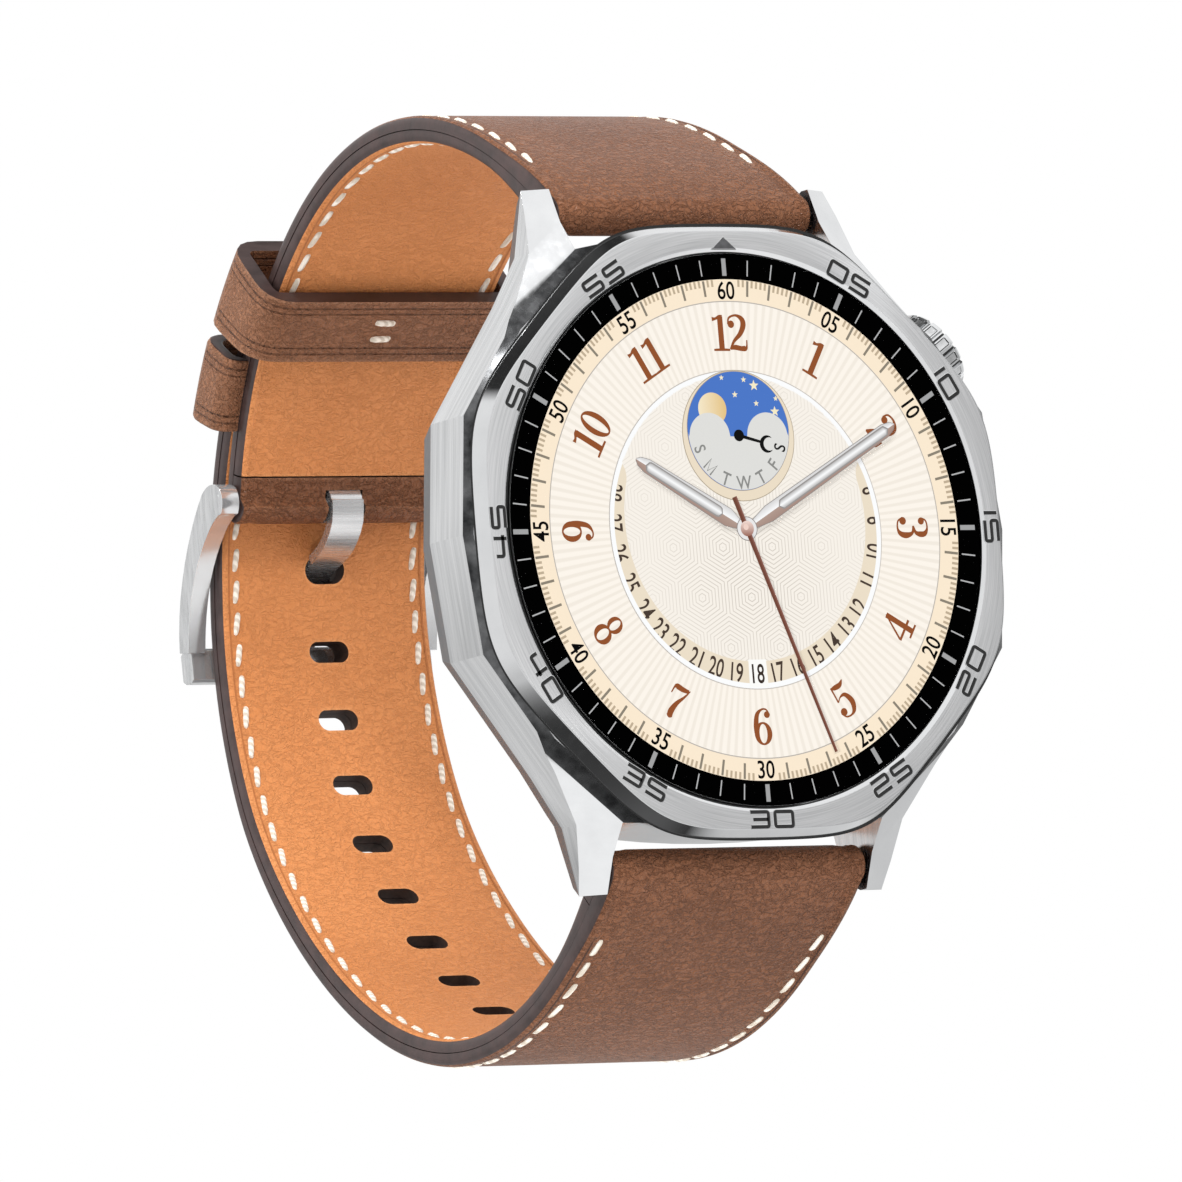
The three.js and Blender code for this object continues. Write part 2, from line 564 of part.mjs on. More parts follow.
function addStraps() {
  const wrapLength = 3.1;
  const reach = upperStrap.length;
  const upperLeather = carve(
    join(
      lugEnd(1),
      strip(upperStrap, upperHalfWidth, 0.2, wrapLength, LINING_FACE, OUTER_FACE, 3),
      strip(upperStrap, upperHalfWidth, wrapLength - 0.3, reach - 0.2, SEAM_HIGH, OUTER_FACE, 24),
      strip(upperStrap, upperHalfWidth, foldStart, reach - 0.3, LINING_FACE, OUTER_FACE, 2),
      rodX(FOLD_R, -BUCKLE_HALF_W, BUCKLE_HALF_W, buckleBar.x, buckleBar.y, 20),
    ),
    ...lugEndCuts(1),
    ...buckleFoldCuts(),
    ...keeperPockets(),
  );
  addPiece('upper_strap_outer', upperLeather, brownLeather);
  addPiece('upper_strap_lining', strip(upperStrap, upperHalfWidth, wrapLength + 0.1, foldStart - 0.1,
    LINING_FACE, SEAM_LOW, 24), tanLining);
  const lowerLeather = carve(
    join(
      lugEnd(-1),
      strip(lowerStrap, lowerHalfWidth, 0.2, wrapLength, LINING_FACE, OUTER_FACE, 3),
      strip(lowerStrap, lowerHalfWidth, wrapLength - 0.3, lowerStrap.length, SEAM_HIGH, OUTER_FACE, 46),
    ),
    ...lugEndCuts(-1),
    ...holeTools(),
  );
  addPiece('lower_strap_outer', lowerLeather, brownLeather);
  addPiece('lower_strap_lining', carve(strip(lowerStrap, lowerHalfWidth, wrapLength + 0.1, lowerStrap.length,
    LINING_FACE, SEAM_LOW, 46), ...holeTools()), tanLining);
}

// ---------- keepers ----------
// An outline in X and distance from the loop's centre, swept about that centre.
function bandAboutLoop(shape, middleDeg, halfArcDeg, steps) {
  const band = new THREE.ExtrudeGeometry(shape, { depth: 1, steps, bevelEnabled: false, curveSegments: 5 });
  const position = band.attributes.position;
  for (let i = 0; i < position.count; i += 1) {
    const deg = middleDeg + halfArcDeg * (2 * position.getZ(i) - 1);
    const at = loopPoint(position.getY(i), deg);
    position.setXYZ(i, position.getX(i), at.x, at.y);
  }
  return band;
}

function roundedFrame(target, halfWidth, low, high, corner) {
  target.moveTo(corner - halfWidth, low);
  target.lineTo(halfWidth - corner, low);
  target.quadraticCurveTo(halfWidth, low, halfWidth, low + corner);
  target.lineTo(halfWidth, high - corner);
  target.quadraticCurveTo(halfWidth, high, halfWidth - corner, high);
  target.lineTo(corner - halfWidth, high);
  target.quadraticCurveTo(-halfWidth, high, -halfWidth, high - corner);
  target.lineTo(-halfWidth, low + corner);
  target.quadraticCurveTo(-halfWidth, low, corner - halfWidth, low);
  return target;
}
const KEEPER_HALF_W = 9.9;
const KEEPER_TOP_R = LOWER_R + STRAP_T / 2 + 0.45;
const POCKET_DEPTH = 1.6;
const TAB_T = 0.6;

function keeperPockets() {
  const pocket = new THREE.Shape();
  const seam = UPPER_R - 0.1;
  pocket.moveTo(0, seam);
  pocket.lineTo(3, seam);
  pocket.lineTo(3, UPPER_R + TAB_T + 0.15);
  pocket.lineTo(0, UPPER_R + TAB_T + 0.15);
  const edge = upperHalfWidth(upperStrap.length - 8);
  const halfArc = KEEPER_HALF_ARC + 0.3;
  const right = bandAboutLoop(pocket, FIXED_KEEPER_DEG, halfArc, 5).translate(edge - POCKET_DEPTH, 0, 0);
  const left = bandAboutLoop(pocket, FIXED_KEEPER_DEG, halfArc, 5).translate(POCKET_DEPTH - edge - 3, 0, 0);
  return [left, right];
}

function addKeepers() {
  const freeLow = UPPER_R - STRAP_T / 2 - 0.3;
  const loop = roundedFrame(new THREE.Shape(), KEEPER_HALF_W + KEEPER_T, freeLow - KEEPER_T,
    KEEPER_TOP_R + KEEPER_T, 2.6);
  loop.holes.push(roundedFrame(new THREE.Path(), KEEPER_HALF_W, freeLow, KEEPER_TOP_R, 0.6));
  addPiece('free_keeper', bandAboutLoop(loop, FREE_KEEPER_DEG, KEEPER_HALF_ARC, 4), brownLeather);

  const tabLow = UPPER_R + 0.08;
  const tabIn = upperHalfWidth(upperStrap.length - 8) - POCKET_DEPTH + 0.3;
  const arch = new THREE.Shape();
  const outerW = KEEPER_HALF_W + KEEPER_T;
  const top = KEEPER_TOP_R + KEEPER_T;
  arch.moveTo(tabIn, tabLow);
  arch.lineTo(outerW - 1.2, tabLow);
  arch.quadraticCurveTo(outerW, tabLow, outerW, tabLow + 1.2);
  arch.lineTo(outerW, top - 2.4);
  arch.quadraticCurveTo(outerW, top, outerW - 2.4, top);
  arch.lineTo(2.4 - outerW, top);
  arch.quadraticCurveTo(-outerW, top, -outerW, top - 2.4);
  arch.lineTo(-outerW, tabLow + 1.2);
  arch.quadraticCurveTo(-outerW, tabLow, 1.2 - outerW, tabLow);
  arch.lineTo(-tabIn, tabLow);
  arch.lineTo(-tabIn, tabLow + TAB_T);
  arch.lineTo(0.6 - KEEPER_HALF_W, tabLow + TAB_T);
  arch.lineTo(-KEEPER_HALF_W, tabLow + TAB_T + 0.6);
  arch.lineTo(-KEEPER_HALF_W, KEEPER_TOP_R - 1.2);
  arch.quadraticCurveTo(-KEEPER_HALF_W, KEEPER_TOP_R, 1.2 - KEEPER_HALF_W, KEEPER_TOP_R);
  arch.lineTo(KEEPER_HALF_W - 1.2, KEEPER_TOP_R);
  arch.quadraticCurveTo(KEEPER_HALF_W, KEEPER_TOP_R, KEEPER_HALF_W, KEEPER_TOP_R - 1.2);
  arch.lineTo(KEEPER_HALF_W, tabLow + TAB_T + 0.6);
  arch.lineTo(KEEPER_HALF_W - 0.6, tabLow + TAB_T);
  arch.lineTo(tabIn, tabLow + TAB_T);
  addPiece('fixed_keeper', bandAboutLoop(arch, FIXED_KEEPER_DEG, KEEPER_HALF_ARC, 4), brownLeather);
}

// ---------- buckle ----------
// Side view of one buckle arm: round at the bar, sweeping outwards to the far rung.
function armShape() {
  const arm = new THREE.Shape();
  const bar = buckleBar;
  arm.moveTo(bar.x - 1.1, bar.y + 1.15);
  arm.quadraticCurveTo(bar.x + 0.1, bar.y + 2.0, bar.x + 1.4, bar.y + 1.0);
  arm.bezierCurveTo(bar.x + 3.5, bar.y - 1.2, bar.x + 6.2, bar.y - 5.6, bar.x + 6.35, bar.y - 10.2);
  arm.lineTo(bar.x + 5.1, bar.y - 10.35);
  arm.bezierCurveTo(bar.x + 4.7, bar.y - 7.4, bar.x + 3.6, bar.y - 4.3, bar.x + 1.0, bar.y - 2.0);
  arm.quadraticCurveTo(bar.x - 0.2, bar.y - 0.9, bar.x - 1.1, bar.y - 0.8);
  arm.quadraticCurveTo(bar.x - 1.75, bar.y + 0.2, bar.x - 1.1, bar.y + 1.15);
  return arm;
}

function rungShape() {
  const low = 38.25;
  const high = 39.75;
  const rung = new THREE.Shape();
  const corners = [[low, -4.1], [low + 0.3, -4.4], [high - 0.4, -4.4], [high, -4.0], [high, -1.2],
    [high - 0.5, -0.6], [low + 0.2, -0.6], [low, -0.9]];
  corners.forEach(([radius, deg], i) => {
    const at = loopPoint(radius, deg);
    if (i === 0) rung.moveTo(at.x, at.y);
    else rung.lineTo(at.x, at.y);
  });
  return rung;
}

// A strip of constant thickness along a curve drawn in Y and Z.
function ribbonShape(curve, thickness, divisions) {
  const near = [];
  const far = [];
  for (let i = 0; i <= divisions; i += 1) {
    const at = curve.getPointAt(i / divisions);
    const ahead = curve.getTangentAt(i / divisions);
    near.push([at.x - (ahead.y * thickness) / 2, at.y + (ahead.x * thickness) / 2]);
    far.push([at.x + (ahead.y * thickness) / 2, at.y - (ahead.x * thickness) / 2]);
  }
  return new THREE.Shape(points2([...near, ...far.reverse()]));
}

function addBuckle() {
  const outerX = ARM_INNER_X + ARM_T;
  const frame = carve(
    join(
      plateYZ(armShape(), -outerX, -ARM_INNER_X),
      plateYZ(armShape(), ARM_INNER_X, outerX),
      plateYZ(rungShape(), -outerX + 0.4, outerX - 0.4),
    ),
    rodX(BUCKLE_BAR_R + 0.02, -outerX - 1, outerX + 1, buckleBar.x, buckleBar.y),
  );
  addPiece('buckle_frame', frame, polishedSteel);
  addPiece('buckle_bar', rodX(BUCKLE_BAR_R, -outerX + 0.1, outerX - 0.1, buckleBar.x, buckleBar.y), brushedSteel);

  const bar = buckleBar;
  const route = new THREE.SplineCurve(points2([[bar.x - 1.2, bar.y + 0.2], [bar.x - 0.9, bar.y - 1.4],
    [bar.x + 0.4, bar.y - 2.9], [bar.x + 2.0, bar.y - 3.75], [bar.x + 3.9, bar.y - 4.45],
    [bar.x + 5.7, bar.y - 6.2], [bar.x + 7.2, bar.y - 8.9], [bar.x + 7.5, bar.y - 11.4]]));
  const tongue = carve(
    join(rodX(FOLD_R, -1.35, 1.35, bar.x, bar.y, 20), plateYZ(ribbonShape(route, 0.75, 20), -1.35, 1.35)),
    rodX(BUCKLE_BAR_R + 0.08, -3, 3, bar.x, bar.y),
  );
  addPiece('buckle_tongue', tongue, brushedSteel);
}

addCase();
addElectronics();
addInnerFrame();
addCrown();
addButton();
addSpringBar('upper', 1);
addSpringBar('lower', -1);
addStraps();
addKeepers();
addBuckle();

export default watch;
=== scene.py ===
# Looks of the smartwatch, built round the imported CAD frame. Metres; helper lengths in mm.
import math
import random

import bmesh
import bpy
import numpy as np
from mathutils import Matrix, Vector


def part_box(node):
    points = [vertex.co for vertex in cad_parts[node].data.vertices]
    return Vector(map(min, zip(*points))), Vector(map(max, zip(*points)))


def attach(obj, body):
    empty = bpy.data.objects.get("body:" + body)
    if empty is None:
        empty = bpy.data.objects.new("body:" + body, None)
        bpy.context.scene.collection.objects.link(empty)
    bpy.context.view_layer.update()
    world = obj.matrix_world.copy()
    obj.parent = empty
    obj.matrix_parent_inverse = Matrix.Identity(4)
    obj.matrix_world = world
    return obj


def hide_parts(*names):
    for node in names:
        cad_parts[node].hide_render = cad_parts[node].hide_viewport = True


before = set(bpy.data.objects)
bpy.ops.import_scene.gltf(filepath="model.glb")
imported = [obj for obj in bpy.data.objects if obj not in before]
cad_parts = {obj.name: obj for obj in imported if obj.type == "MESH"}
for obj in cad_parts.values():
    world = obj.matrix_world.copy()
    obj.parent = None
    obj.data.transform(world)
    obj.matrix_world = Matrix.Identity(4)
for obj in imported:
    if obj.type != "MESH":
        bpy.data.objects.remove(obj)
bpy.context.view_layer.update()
random.seed(7)
MM = 0.001


# ---------- colours and shader nodes ----------
def rgb(text):
    """A web colour as linear red, green and blue."""
    parts = [int(text[i:i + 2], 16) / 255 for i in (0, 2, 4)]
    return tuple(c / 12.92 if c < 0.04045 else ((c + 0.055) / 1.055) ** 2.4 for c in parts)


def rgba(text):
    return (*rgb(text), 1.0)


def shade_between(first, second, share):
    return tuple(a + (b - a) * share for a, b in zip(rgba(first), rgba(second)))


class Nodes:
    """Short ways to add and link nodes in one tree."""

    def __init__(self, tree):
        self.tree = tree
        tree.nodes.clear()

    def put(self, socket, value):
        if isinstance(value, bpy.types.NodeSocket):
            self.tree.links.new(value, socket)
        elif value is not None:
            socket.default_value = value

    def node(self, kind, inputs=(), out=0, **settings):
        node = self.tree.nodes.new("ShaderNode" + kind)
        for key, value in settings.items():
            setattr(node, key, value)
        items = inputs.items() if isinstance(inputs, dict) else enumerate(inputs)
        for key, value in items:
            self.put(node.inputs[key], value)
        return node.outputs[out]

    def parts(self, vector):
        """The x, y and z of a vector."""
        self.node("SeparateXYZ", [vector])
        return self.tree.nodes[-1].outputs

    def ramp(self, value, low, high, to_low=0.0, to_high=1.0):
        return self.node("MapRange", [value, low, high, to_low, to_high])

    def mix(self, factor, a, b, mode="MIX"):
        node = self.tree.nodes.new("ShaderNodeMix")
        node.data_type = "RGBA"
        node.blend_type = mode
        for index, value in ((0, factor), (6, a), (7, b)):
            self.put(node.inputs[index], value)
        return node.outputs[2]


class Mat(Nodes):
    """A material built from shader nodes, with one Principled shader at its end."""

    def __init__(self, name, **sockets):
        self.data = bpy.data.materials.new(name)
        self.data.use_nodes = True
        super().__init__(self.data.node_tree)
        out = self.tree.nodes.new("ShaderNodeOutputMaterial")
        self.bsdf = self.tree.nodes.new("ShaderNodeBsdfPrincipled")
        self.tree.links.new(self.bsdf.outputs[0], out.inputs[0])
        self.coords = None
        self.set(**sockets)

    def position(self):
        if self.coords is None:
            self.coords = self.node("TexCoord", out=3)
        return self.coords

    def scaled(self, x, y, z):
        """Object coordinates stretched by a factor on each axis."""
        return self.node("Mapping", {0: self.position(), 3: (x, y, z)})

    def math(self, operation, a, b=None):
        return self.node("Math", [v for v in (a, b) if v is not None], operation=operation)

    def vector(self, operation, a, b=None, out=0):
        return self.node("VectorMath", [v for v in (a, b) if v is not None], out=out, operation=operation)

    def noise(self, scale, detail=3.0, rough=0.55, at=None, distortion=0.0):
        at = at or self.position()
        return self.node("TexNoise", {"Vector": at, "Scale": scale, "Detail": detail, "Roughness": rough,
                                      "Distortion": distortion})

    def bump(self, height, distance, strength=1.0, normal=None):
        """A bumped normal, over another normal if one is given."""
        inputs = {"Height": height, "Distance": distance, "Strength": strength, "Normal": normal}
        return self.node("Bump", inputs)

    def set(self, **sockets):
        for key, value in sockets.items():
            self.put(self.bsdf.inputs[key.replace("_", " ")], value)
        return self.data


def steel(name, stretch, tint="D2D3D4", rough=0.3, metallic=1.0):
    """Steel brushed along one direction: noise that is short across it and long along it.

    Without a stretch, the brushing runs level along whichever side the face is on."""
    m = Mat(name, Metallic=metallic)
    if stretch:
        at = m.scaled(*stretch)
    else:
        level = m.vector("CROSS_PRODUCT", m.node("NewGeometry", out=3), (0.0, 1.0, 0.0))
        along = m.math("MULTIPLY", m.vector("DOT_PRODUCT", m.position(), level, out=1), 0.02)
        at = m.node("CombineXYZ", [m.parts(m.position())[1], along, 0.0])
    streak = m.noise(5200, 3, 0.6, at)
    wide = m.noise(2000, 2, 0.5, at)
    smudge = m.noise(60, 2, 0.5)
    colour = m.mix(m.ramp(streak, 0.3, 0.7), rgba("BEBFC0"), rgba(tint))
    colour = m.mix(m.ramp(wide, 0.35, 0.65, 0, 0.35), colour, rgba("F4F4F4"))
    height = m.bump(streak, 0.000018, 0.35)
    roughness = m.math("ADD", m.ramp(smudge, 0.3, 0.7, rough - 0.02, rough + 0.03),
                       m.ramp(streak, 0.3, 0.7, -0.05, 0.05))
    return m.set(Base_Color=colour, Roughness=roughness, Normal=height)


def turned_steel(name, rough=0.28):
    """Steel brushed in circles about the dial's middle, so it shines in fans."""
    m = Mat(name, Metallic=1.0, Anisotropic=0.9)
    parts = m.parts(m.position())
    radius = m.math("SQRT", m.math("ADD", m.math("MULTIPLY", parts[0], parts[0]),
                                   m.math("MULTIPLY", parts[2], parts[2])))
    angle = m.math("ARCTAN2", parts[2], parts[0])
    ring = m.node("CombineXYZ", [m.math("MULTIPLY", radius, 1300.0), m.math("MULTIPLY", angle, 0.35), 0.0])
    streak = m.noise(9.0, 3, 0.6, ring)
    colour = m.mix(m.ramp(streak, 0.3, 0.7), rgba("CDCECF"), rgba("ECECED"))
    return m.set(Base_Color=colour, Roughness=m.ramp(streak, 0.25, 0.75, rough - 0.04, rough + 0.06),
                 Normal=m.bump(streak, 0.00001, 0.2),
                 Tangent=m.node("Tangent", direction_type="RADIAL", axis="Y"))


def mirror_steel(name, tint="DEDFE0", rough=0.07, metallic=1.0):
    m = Mat(name, Metallic=metallic)
    haze = m.noise(400, 4, 0.6)
    scratch = m.noise(2400, 2, 0.5, m.scaled(1, 0.15, 0.6))
    return m.set(Base_Color=m.mix(m.ramp(haze, 0.3, 0.7, 0, 0.3), rgba(tint), rgba("C8C9CB")),
                 Roughness=m.ramp(scratch, 0.4, 0.8, rough, rough + 0.06),
                 Normal=m.bump(scratch, 0.000003, 0.1))


def leather(name, dark, mid, light, grain, wrinkle, rough):
    """Grained leather: small pebbles and longer creases, both darkened as painted shade, and a paler tone on
    rounded edges that is partly rubbed wear and partly a painted highlight.
    """
    m = Mat(name, Specular_IOR_Level=0.2)
    bent = m.vector("ADD", m.position(), m.vector("MULTIPLY", m.node("TexNoise", {
        "Vector": m.position(), "Scale": 900.0, "Detail": 2.0}, out=1), (0.0005, 0.0005, 0.0005)))
    cell_edge = m.node("TexVoronoi", {"Vector": bent, "Scale": grain}, feature="DISTANCE_TO_EDGE")
    pebble = m.ramp(cell_edge, 0.0, 0.22)
    folds = m.noise(grain * 0.75, 3, 0.6, m.node("Mapping", {0: bent, 3: (0.75, 1.25, 1.25)}), 0.4)
    creases = m.ramp(m.math("ABSOLUTE", m.math("SUBTRACT", folds, 0.5)), 0.0, 0.06)
    fine = m.noise(5200, 3, 0.65)
    broad = m.noise(70, 2, 0.5)
    colour = m.mix(m.ramp(broad, 0.35, 0.65, 0.3, 0.7), rgba(dark), rgba(mid))
    colour = m.mix(m.ramp(fine, 0.4, 0.7, 0.0, 0.16), colour, rgba(light))
    # Painted shade: the colour darkens in the creases and in the gaps between pebbles.
    colour = m.mix(m.ramp(creases, 0.0, 1.0, 0.24, 0.0), colour, rgba(dark))
    colour = m.mix(m.ramp(pebble, 0.0, 0.8, 0.2, 0.0), colour, rgba(dark))
    # Rubbed wear and painted highlight: the colour turns paler where the shading bends round an edge.
    edge_wear_and_highlight = m.node("Bevel", {"Radius": 0.0006}, samples=4)
    edge = m.vector("DOT_PRODUCT", edge_wear_and_highlight, m.node("NewGeometry", out=1), out=1)
    colour = m.mix(m.ramp(edge, 0.93, 0.80, 0.0, 0.4), colour, rgba(light))
    height = m.math("ADD", m.math("MULTIPLY", pebble, 0.6), m.math("MULTIPLY", creases, 0.9))
    height = m.math("ADD", height, m.math("MULTIPLY", fine, 0.25))
    m.set(Base_Color=colour, Roughness=m.ramp(fine, 0.25, 0.75, rough - 0.05, rough + 0.1),
          Normal=m.bump(height, wrinkle, 1.0))
    return m


def painted_edge(name):
    m = Mat(name)
    wave = m.noise(700, 3, 0.6, m.scaled(0.35, 1, 1))
    colour = m.mix(m.ramp(wave, 0.3, 0.7), rgba("2C201E"), rgba("443432"))
    return m.set(Base_Color=colour, Roughness=m.ramp(wave, 0.3, 0.7, 0.34, 0.5),
                 Normal=m.bump(wave, 0.00006, 0.6))


def thread(name):
    m = Mat(name)
    twist = m.node("TexWave", {"Vector": m.position(), "Scale": 900.0, "Distortion": 1.5, "Detail": 2.0},
                   out=1, bands_direction="DIAGONAL")
    fuzz = m.noise(5000, 3, 0.6)
    colour = m.mix(m.ramp(twist, 0.2, 0.8), rgba("CFC4B4"), rgba("F0E9DD"))
    return m.set(Base_Color=colour, Roughness=m.ramp(fuzz, 0.2, 0.8, 0.6, 0.85),
                 Normal=m.bump(m.math("ADD", twist, fuzz), 0.00005, 0.7))


def moulded(name, colour, other, rough=0.4, scale=1200, metallic=0.0, depth=0.00001):
    m = Mat(name, Metallic=metallic)
    speck = m.noise(scale, 3, 0.6)
    cloud = m.noise(scale / 14, 3, 0.6)
    base = m.mix(m.ramp(speck, 0.35, 0.65), rgba(colour), rgba(other))
    base = m.mix(m.ramp(cloud, 0.4, 0.7, 0, 0.3), base, rgba(other))
    return m.set(Base_Color=base, Roughness=m.ramp(cloud, 0.3, 0.7, rough - 0.05, rough + 0.08),
                 Normal=m.bump(speck, depth, 0.4))


def shows(name, colour_of):
    """A lit picture: its colour is given out, not reflected."""
    m = Mat(name, Roughness=0.3, Emission_Strength=1.0, Specular_IOR_Level=0.0, Base_Color=(0, 0, 0, 1))
    return m.set(Emission_Color=colour_of(m))


def art_colour(m):
    """The painted colour, darkened a little by a fine grain."""
    grain = m.ramp(m.noise(9000, 1, 0.5), 0.3, 0.7, 0.985, 1.0)
    paint = m.node("VertexColor", layer_name="paint")
    return m.mix(1.0, paint, m.node("CombineXYZ", [grain] * 3), "MULTIPLY")


def sunray_colour(m):
    parts = m.parts(m.position())
    angle = m.math("ARCTAN2", parts[2], parts[0])
    wave = m.math("SINE", m.math("MULTIPLY", angle, 156.0))
    ray = m.ramp(wave, -0.2, 0.7, 0.0, 0.65)
    return m.mix(ray, rgba("FFF7EC"), rgba("F0E7DA"))


def guilloche_colour(m):
    """Nested hexagons on a honeycomb, drawn as fine lines."""
    parts = m.parts(m.position())
    x = m.math("MULTIPLY", parts[0], 1 / 0.0042)
    z = m.math("MULTIPLY", parts[2], 1 / 0.0042)
    point = m.node("CombineXYZ", [m.math("ADD", x, 40.5), m.math("ADD", z, 40 * math.sqrt(3) + 0.3), 0.0])
    cell = (1.0, math.sqrt(3.0), 1.0)
    half = (0.5, math.sqrt(3.0) / 2, 0.0)
    a = m.vector("SUBTRACT", m.vector("MODULO", point, cell), half)
    b = m.vector("SUBTRACT", m.vector("MODULO", m.vector("SUBTRACT", point, half), cell), half)
    near = m.math("LESS_THAN", m.vector("DOT_PRODUCT", a, a, out=1), m.vector("DOT_PRODUCT", b, b, out=1))
    node = m.tree.nodes.new("ShaderNodeMix")
    node.data_type = "VECTOR"
    m.put(node.inputs[0], near)
    m.put(node.inputs[4], b)
    m.put(node.inputs[5], a)
    here = m.vector("ABSOLUTE", node.outputs[1])
    side = m.vector("DOT_PRODUCT", here, (0.5, math.sqrt(3) / 2, 0), out=1)
    distance = m.math("MAXIMUM", side, m.parts(here)[0])
    line = m.math("PINGPONG", m.math("MULTIPLY", distance, 15.0), 0.5)
    drawn = m.ramp(line, 0.0, 0.17, 1.0, 0.0)
    away = m.vector("LENGTH", m.vector("SUBTRACT", m.position(), (0.0, -0.012, -0.0035)), out=1)
    depth = m.ramp(away, 0.002, 0.0085, 0.62, 0.24)
    return m.mix(m.math("MULTIPLY", drawn, depth), rgba("FAF3E9"), rgba("94887A"))


# ---------- mesh helpers ----------
def placed(name, data):
    piece = bpy.data.objects.new(name, data)
    bpy.context.collection.objects.link(piece)
    return piece


def reshape(mesh, change):
    """Passes a mesh through bmesh for one change."""
    build = bmesh.new()
    build.from_mesh(mesh)
    change(build)
    build.to_mesh(mesh)
    build.free()


def face_outward(build):
    bmesh.ops.recalc_face_normals(build, faces=build.faces)


def turns(count):
    """Equal angles once round a circle."""
    return np.linspace(0, 2 * math.pi, count, endpoint=False)


def tube_faces(rows, width, base=0):
    """Quads between closed rings of points, ring by ring."""
    return [(base + i * width + k, base + i * width + (k + 1) % width,
             base + (i + 1) * width + (k + 1) % width, base + (i + 1) * width + k)
            for i in range(rows - 1) for k in range(width)]


def add_object(name, verts, faces, materials, body="watch", slot=None, smooth=True, sharp=32, indices=None):
    """A mesh from points in mm, riding on a body."""
    mesh = bpy.data.meshes.new(name)
    mesh.from_pydata([tuple(c * MM for c in v) for v in verts], [], [tuple(f) for f in faces])
    piece = placed(name, mesh)
    finish_object(piece, materials, body, smooth, sharp, indices)
    return piece


def finish_object(piece, materials, body="watch", smooth=True, sharp=32, indices=None):
    mesh = piece.data
    for material in materials if isinstance(materials, (list, tuple)) else [materials]:
        mesh.materials.append(material)
    if indices is not None:
        mesh.polygons.foreach_set("material_index", list(indices))
    mesh.validate()
    reshape(mesh, face_outward)
    if smooth:
        mesh.shade_smooth()
        mesh.set_sharp_from_angle(angle=math.radians(sharp))
    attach(piece, body)


def apply_modifiers(piece):
    graph = bpy.context.evaluated_depsgraph_get()
    mesh = bpy.data.meshes.new_from_object(piece.evaluated_get(graph))
    old = piece.data
    piece.modifiers.clear()
    piece.data = mesh
    bpy.data.meshes.remove(old)


def bevelled(piece, width, segments, angle, sharp):
    """Rounds the edges of a piece by a width in mm."""
    mod = piece.modifiers.new("edge", "BEVEL")
    mod.width = width * MM
    mod.segments = segments
    mod.limit_method = "ANGLE"
    mod.angle_limit = math.radians(angle)
    apply_modifiers(piece)
    piece.data.shade_smooth()
    piece.data.set_sharp_from_angle(angle=math.radians(sharp))
    flat = piece.modifiers.new("flat", "WEIGHTED_NORMAL")
    flat.keep_sharp = True
    flat.weight = 100
    apply_modifiers(piece)


def from_node(name, node, materials, body, width, segments=2, angle=28, sharp=40):
    """A copy of a CAD node with flat faces merged and its edges rounded."""
    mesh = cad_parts[node].data.copy()
    mesh.name = name
    mesh.materials.clear()
    piece = placed(name, mesh)

    def merge_flat(build):
        bmesh.ops.remove_doubles(build, verts=build.verts, dist=2e-6)
        bmesh.ops.dissolve_limit(build, angle_limit=math.radians(0.6), verts=build.verts, edges=build.edges)

    reshape(mesh, merge_flat)
    finish_object(piece, materials, body)
    bevelled(piece, width, segments, angle, sharp)
    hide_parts(node)
    return piece


def lathe(name, profile, materials, steps, slot, indices=None, radius_of=None, sharp=30):
    """Turns (radius, y) pairs in mm about the Y axis. radius_of(i, radius, angle) may bend the radius."""
    verts = []
    faces = []
    rows = len(profile)
    face_slots = []
    for k in range(steps):
        angle = 2 * math.pi * k / steps
        for i, (radius, y) in enumerate(profile):
            r = radius_of(i, radius, angle) if radius_of else radius
            verts.append((r * math.cos(angle), y, r * math.sin(angle)))
    for k in range(steps):
        for i in range(rows - 1):
            a, b = k * rows + i, ((k + 1) % steps) * rows + i
            faces.append((a, a + 1, b + 1, b))
            face_slots.append(indices[i] if indices else 0)
    piece = add_object(name, verts, faces, materials, "watch", slot, sharp=sharp, indices=face_slots)

    def weld(build):
        bmesh.ops.remove_doubles(build, verts=build.verts, dist=1e-7)
        face_outward(build)

    reshape(piece.data, weld)
    piece.data.set_sharp_from_angle(angle=math.radians(sharp))
    return piece


# ---------- the lit dial ----------
DIAL_Y = -11.93
LAYER = 0.011


def clock(radius, degrees_cw):
    """A place on the dial from its radius and its angle clockwise from 12."""
    a = math.radians(degrees_cw)
    return radius * math.sin(a), radius * math.cos(a)


def circle(radius, steps, middle=(0, 0)):
    """Points once round the dial from 12."""
    around = [clock(radius, 360 * i / steps) for i in range(steps)]
    return [(middle[0] + x, middle[1] + z) for x, z in around]


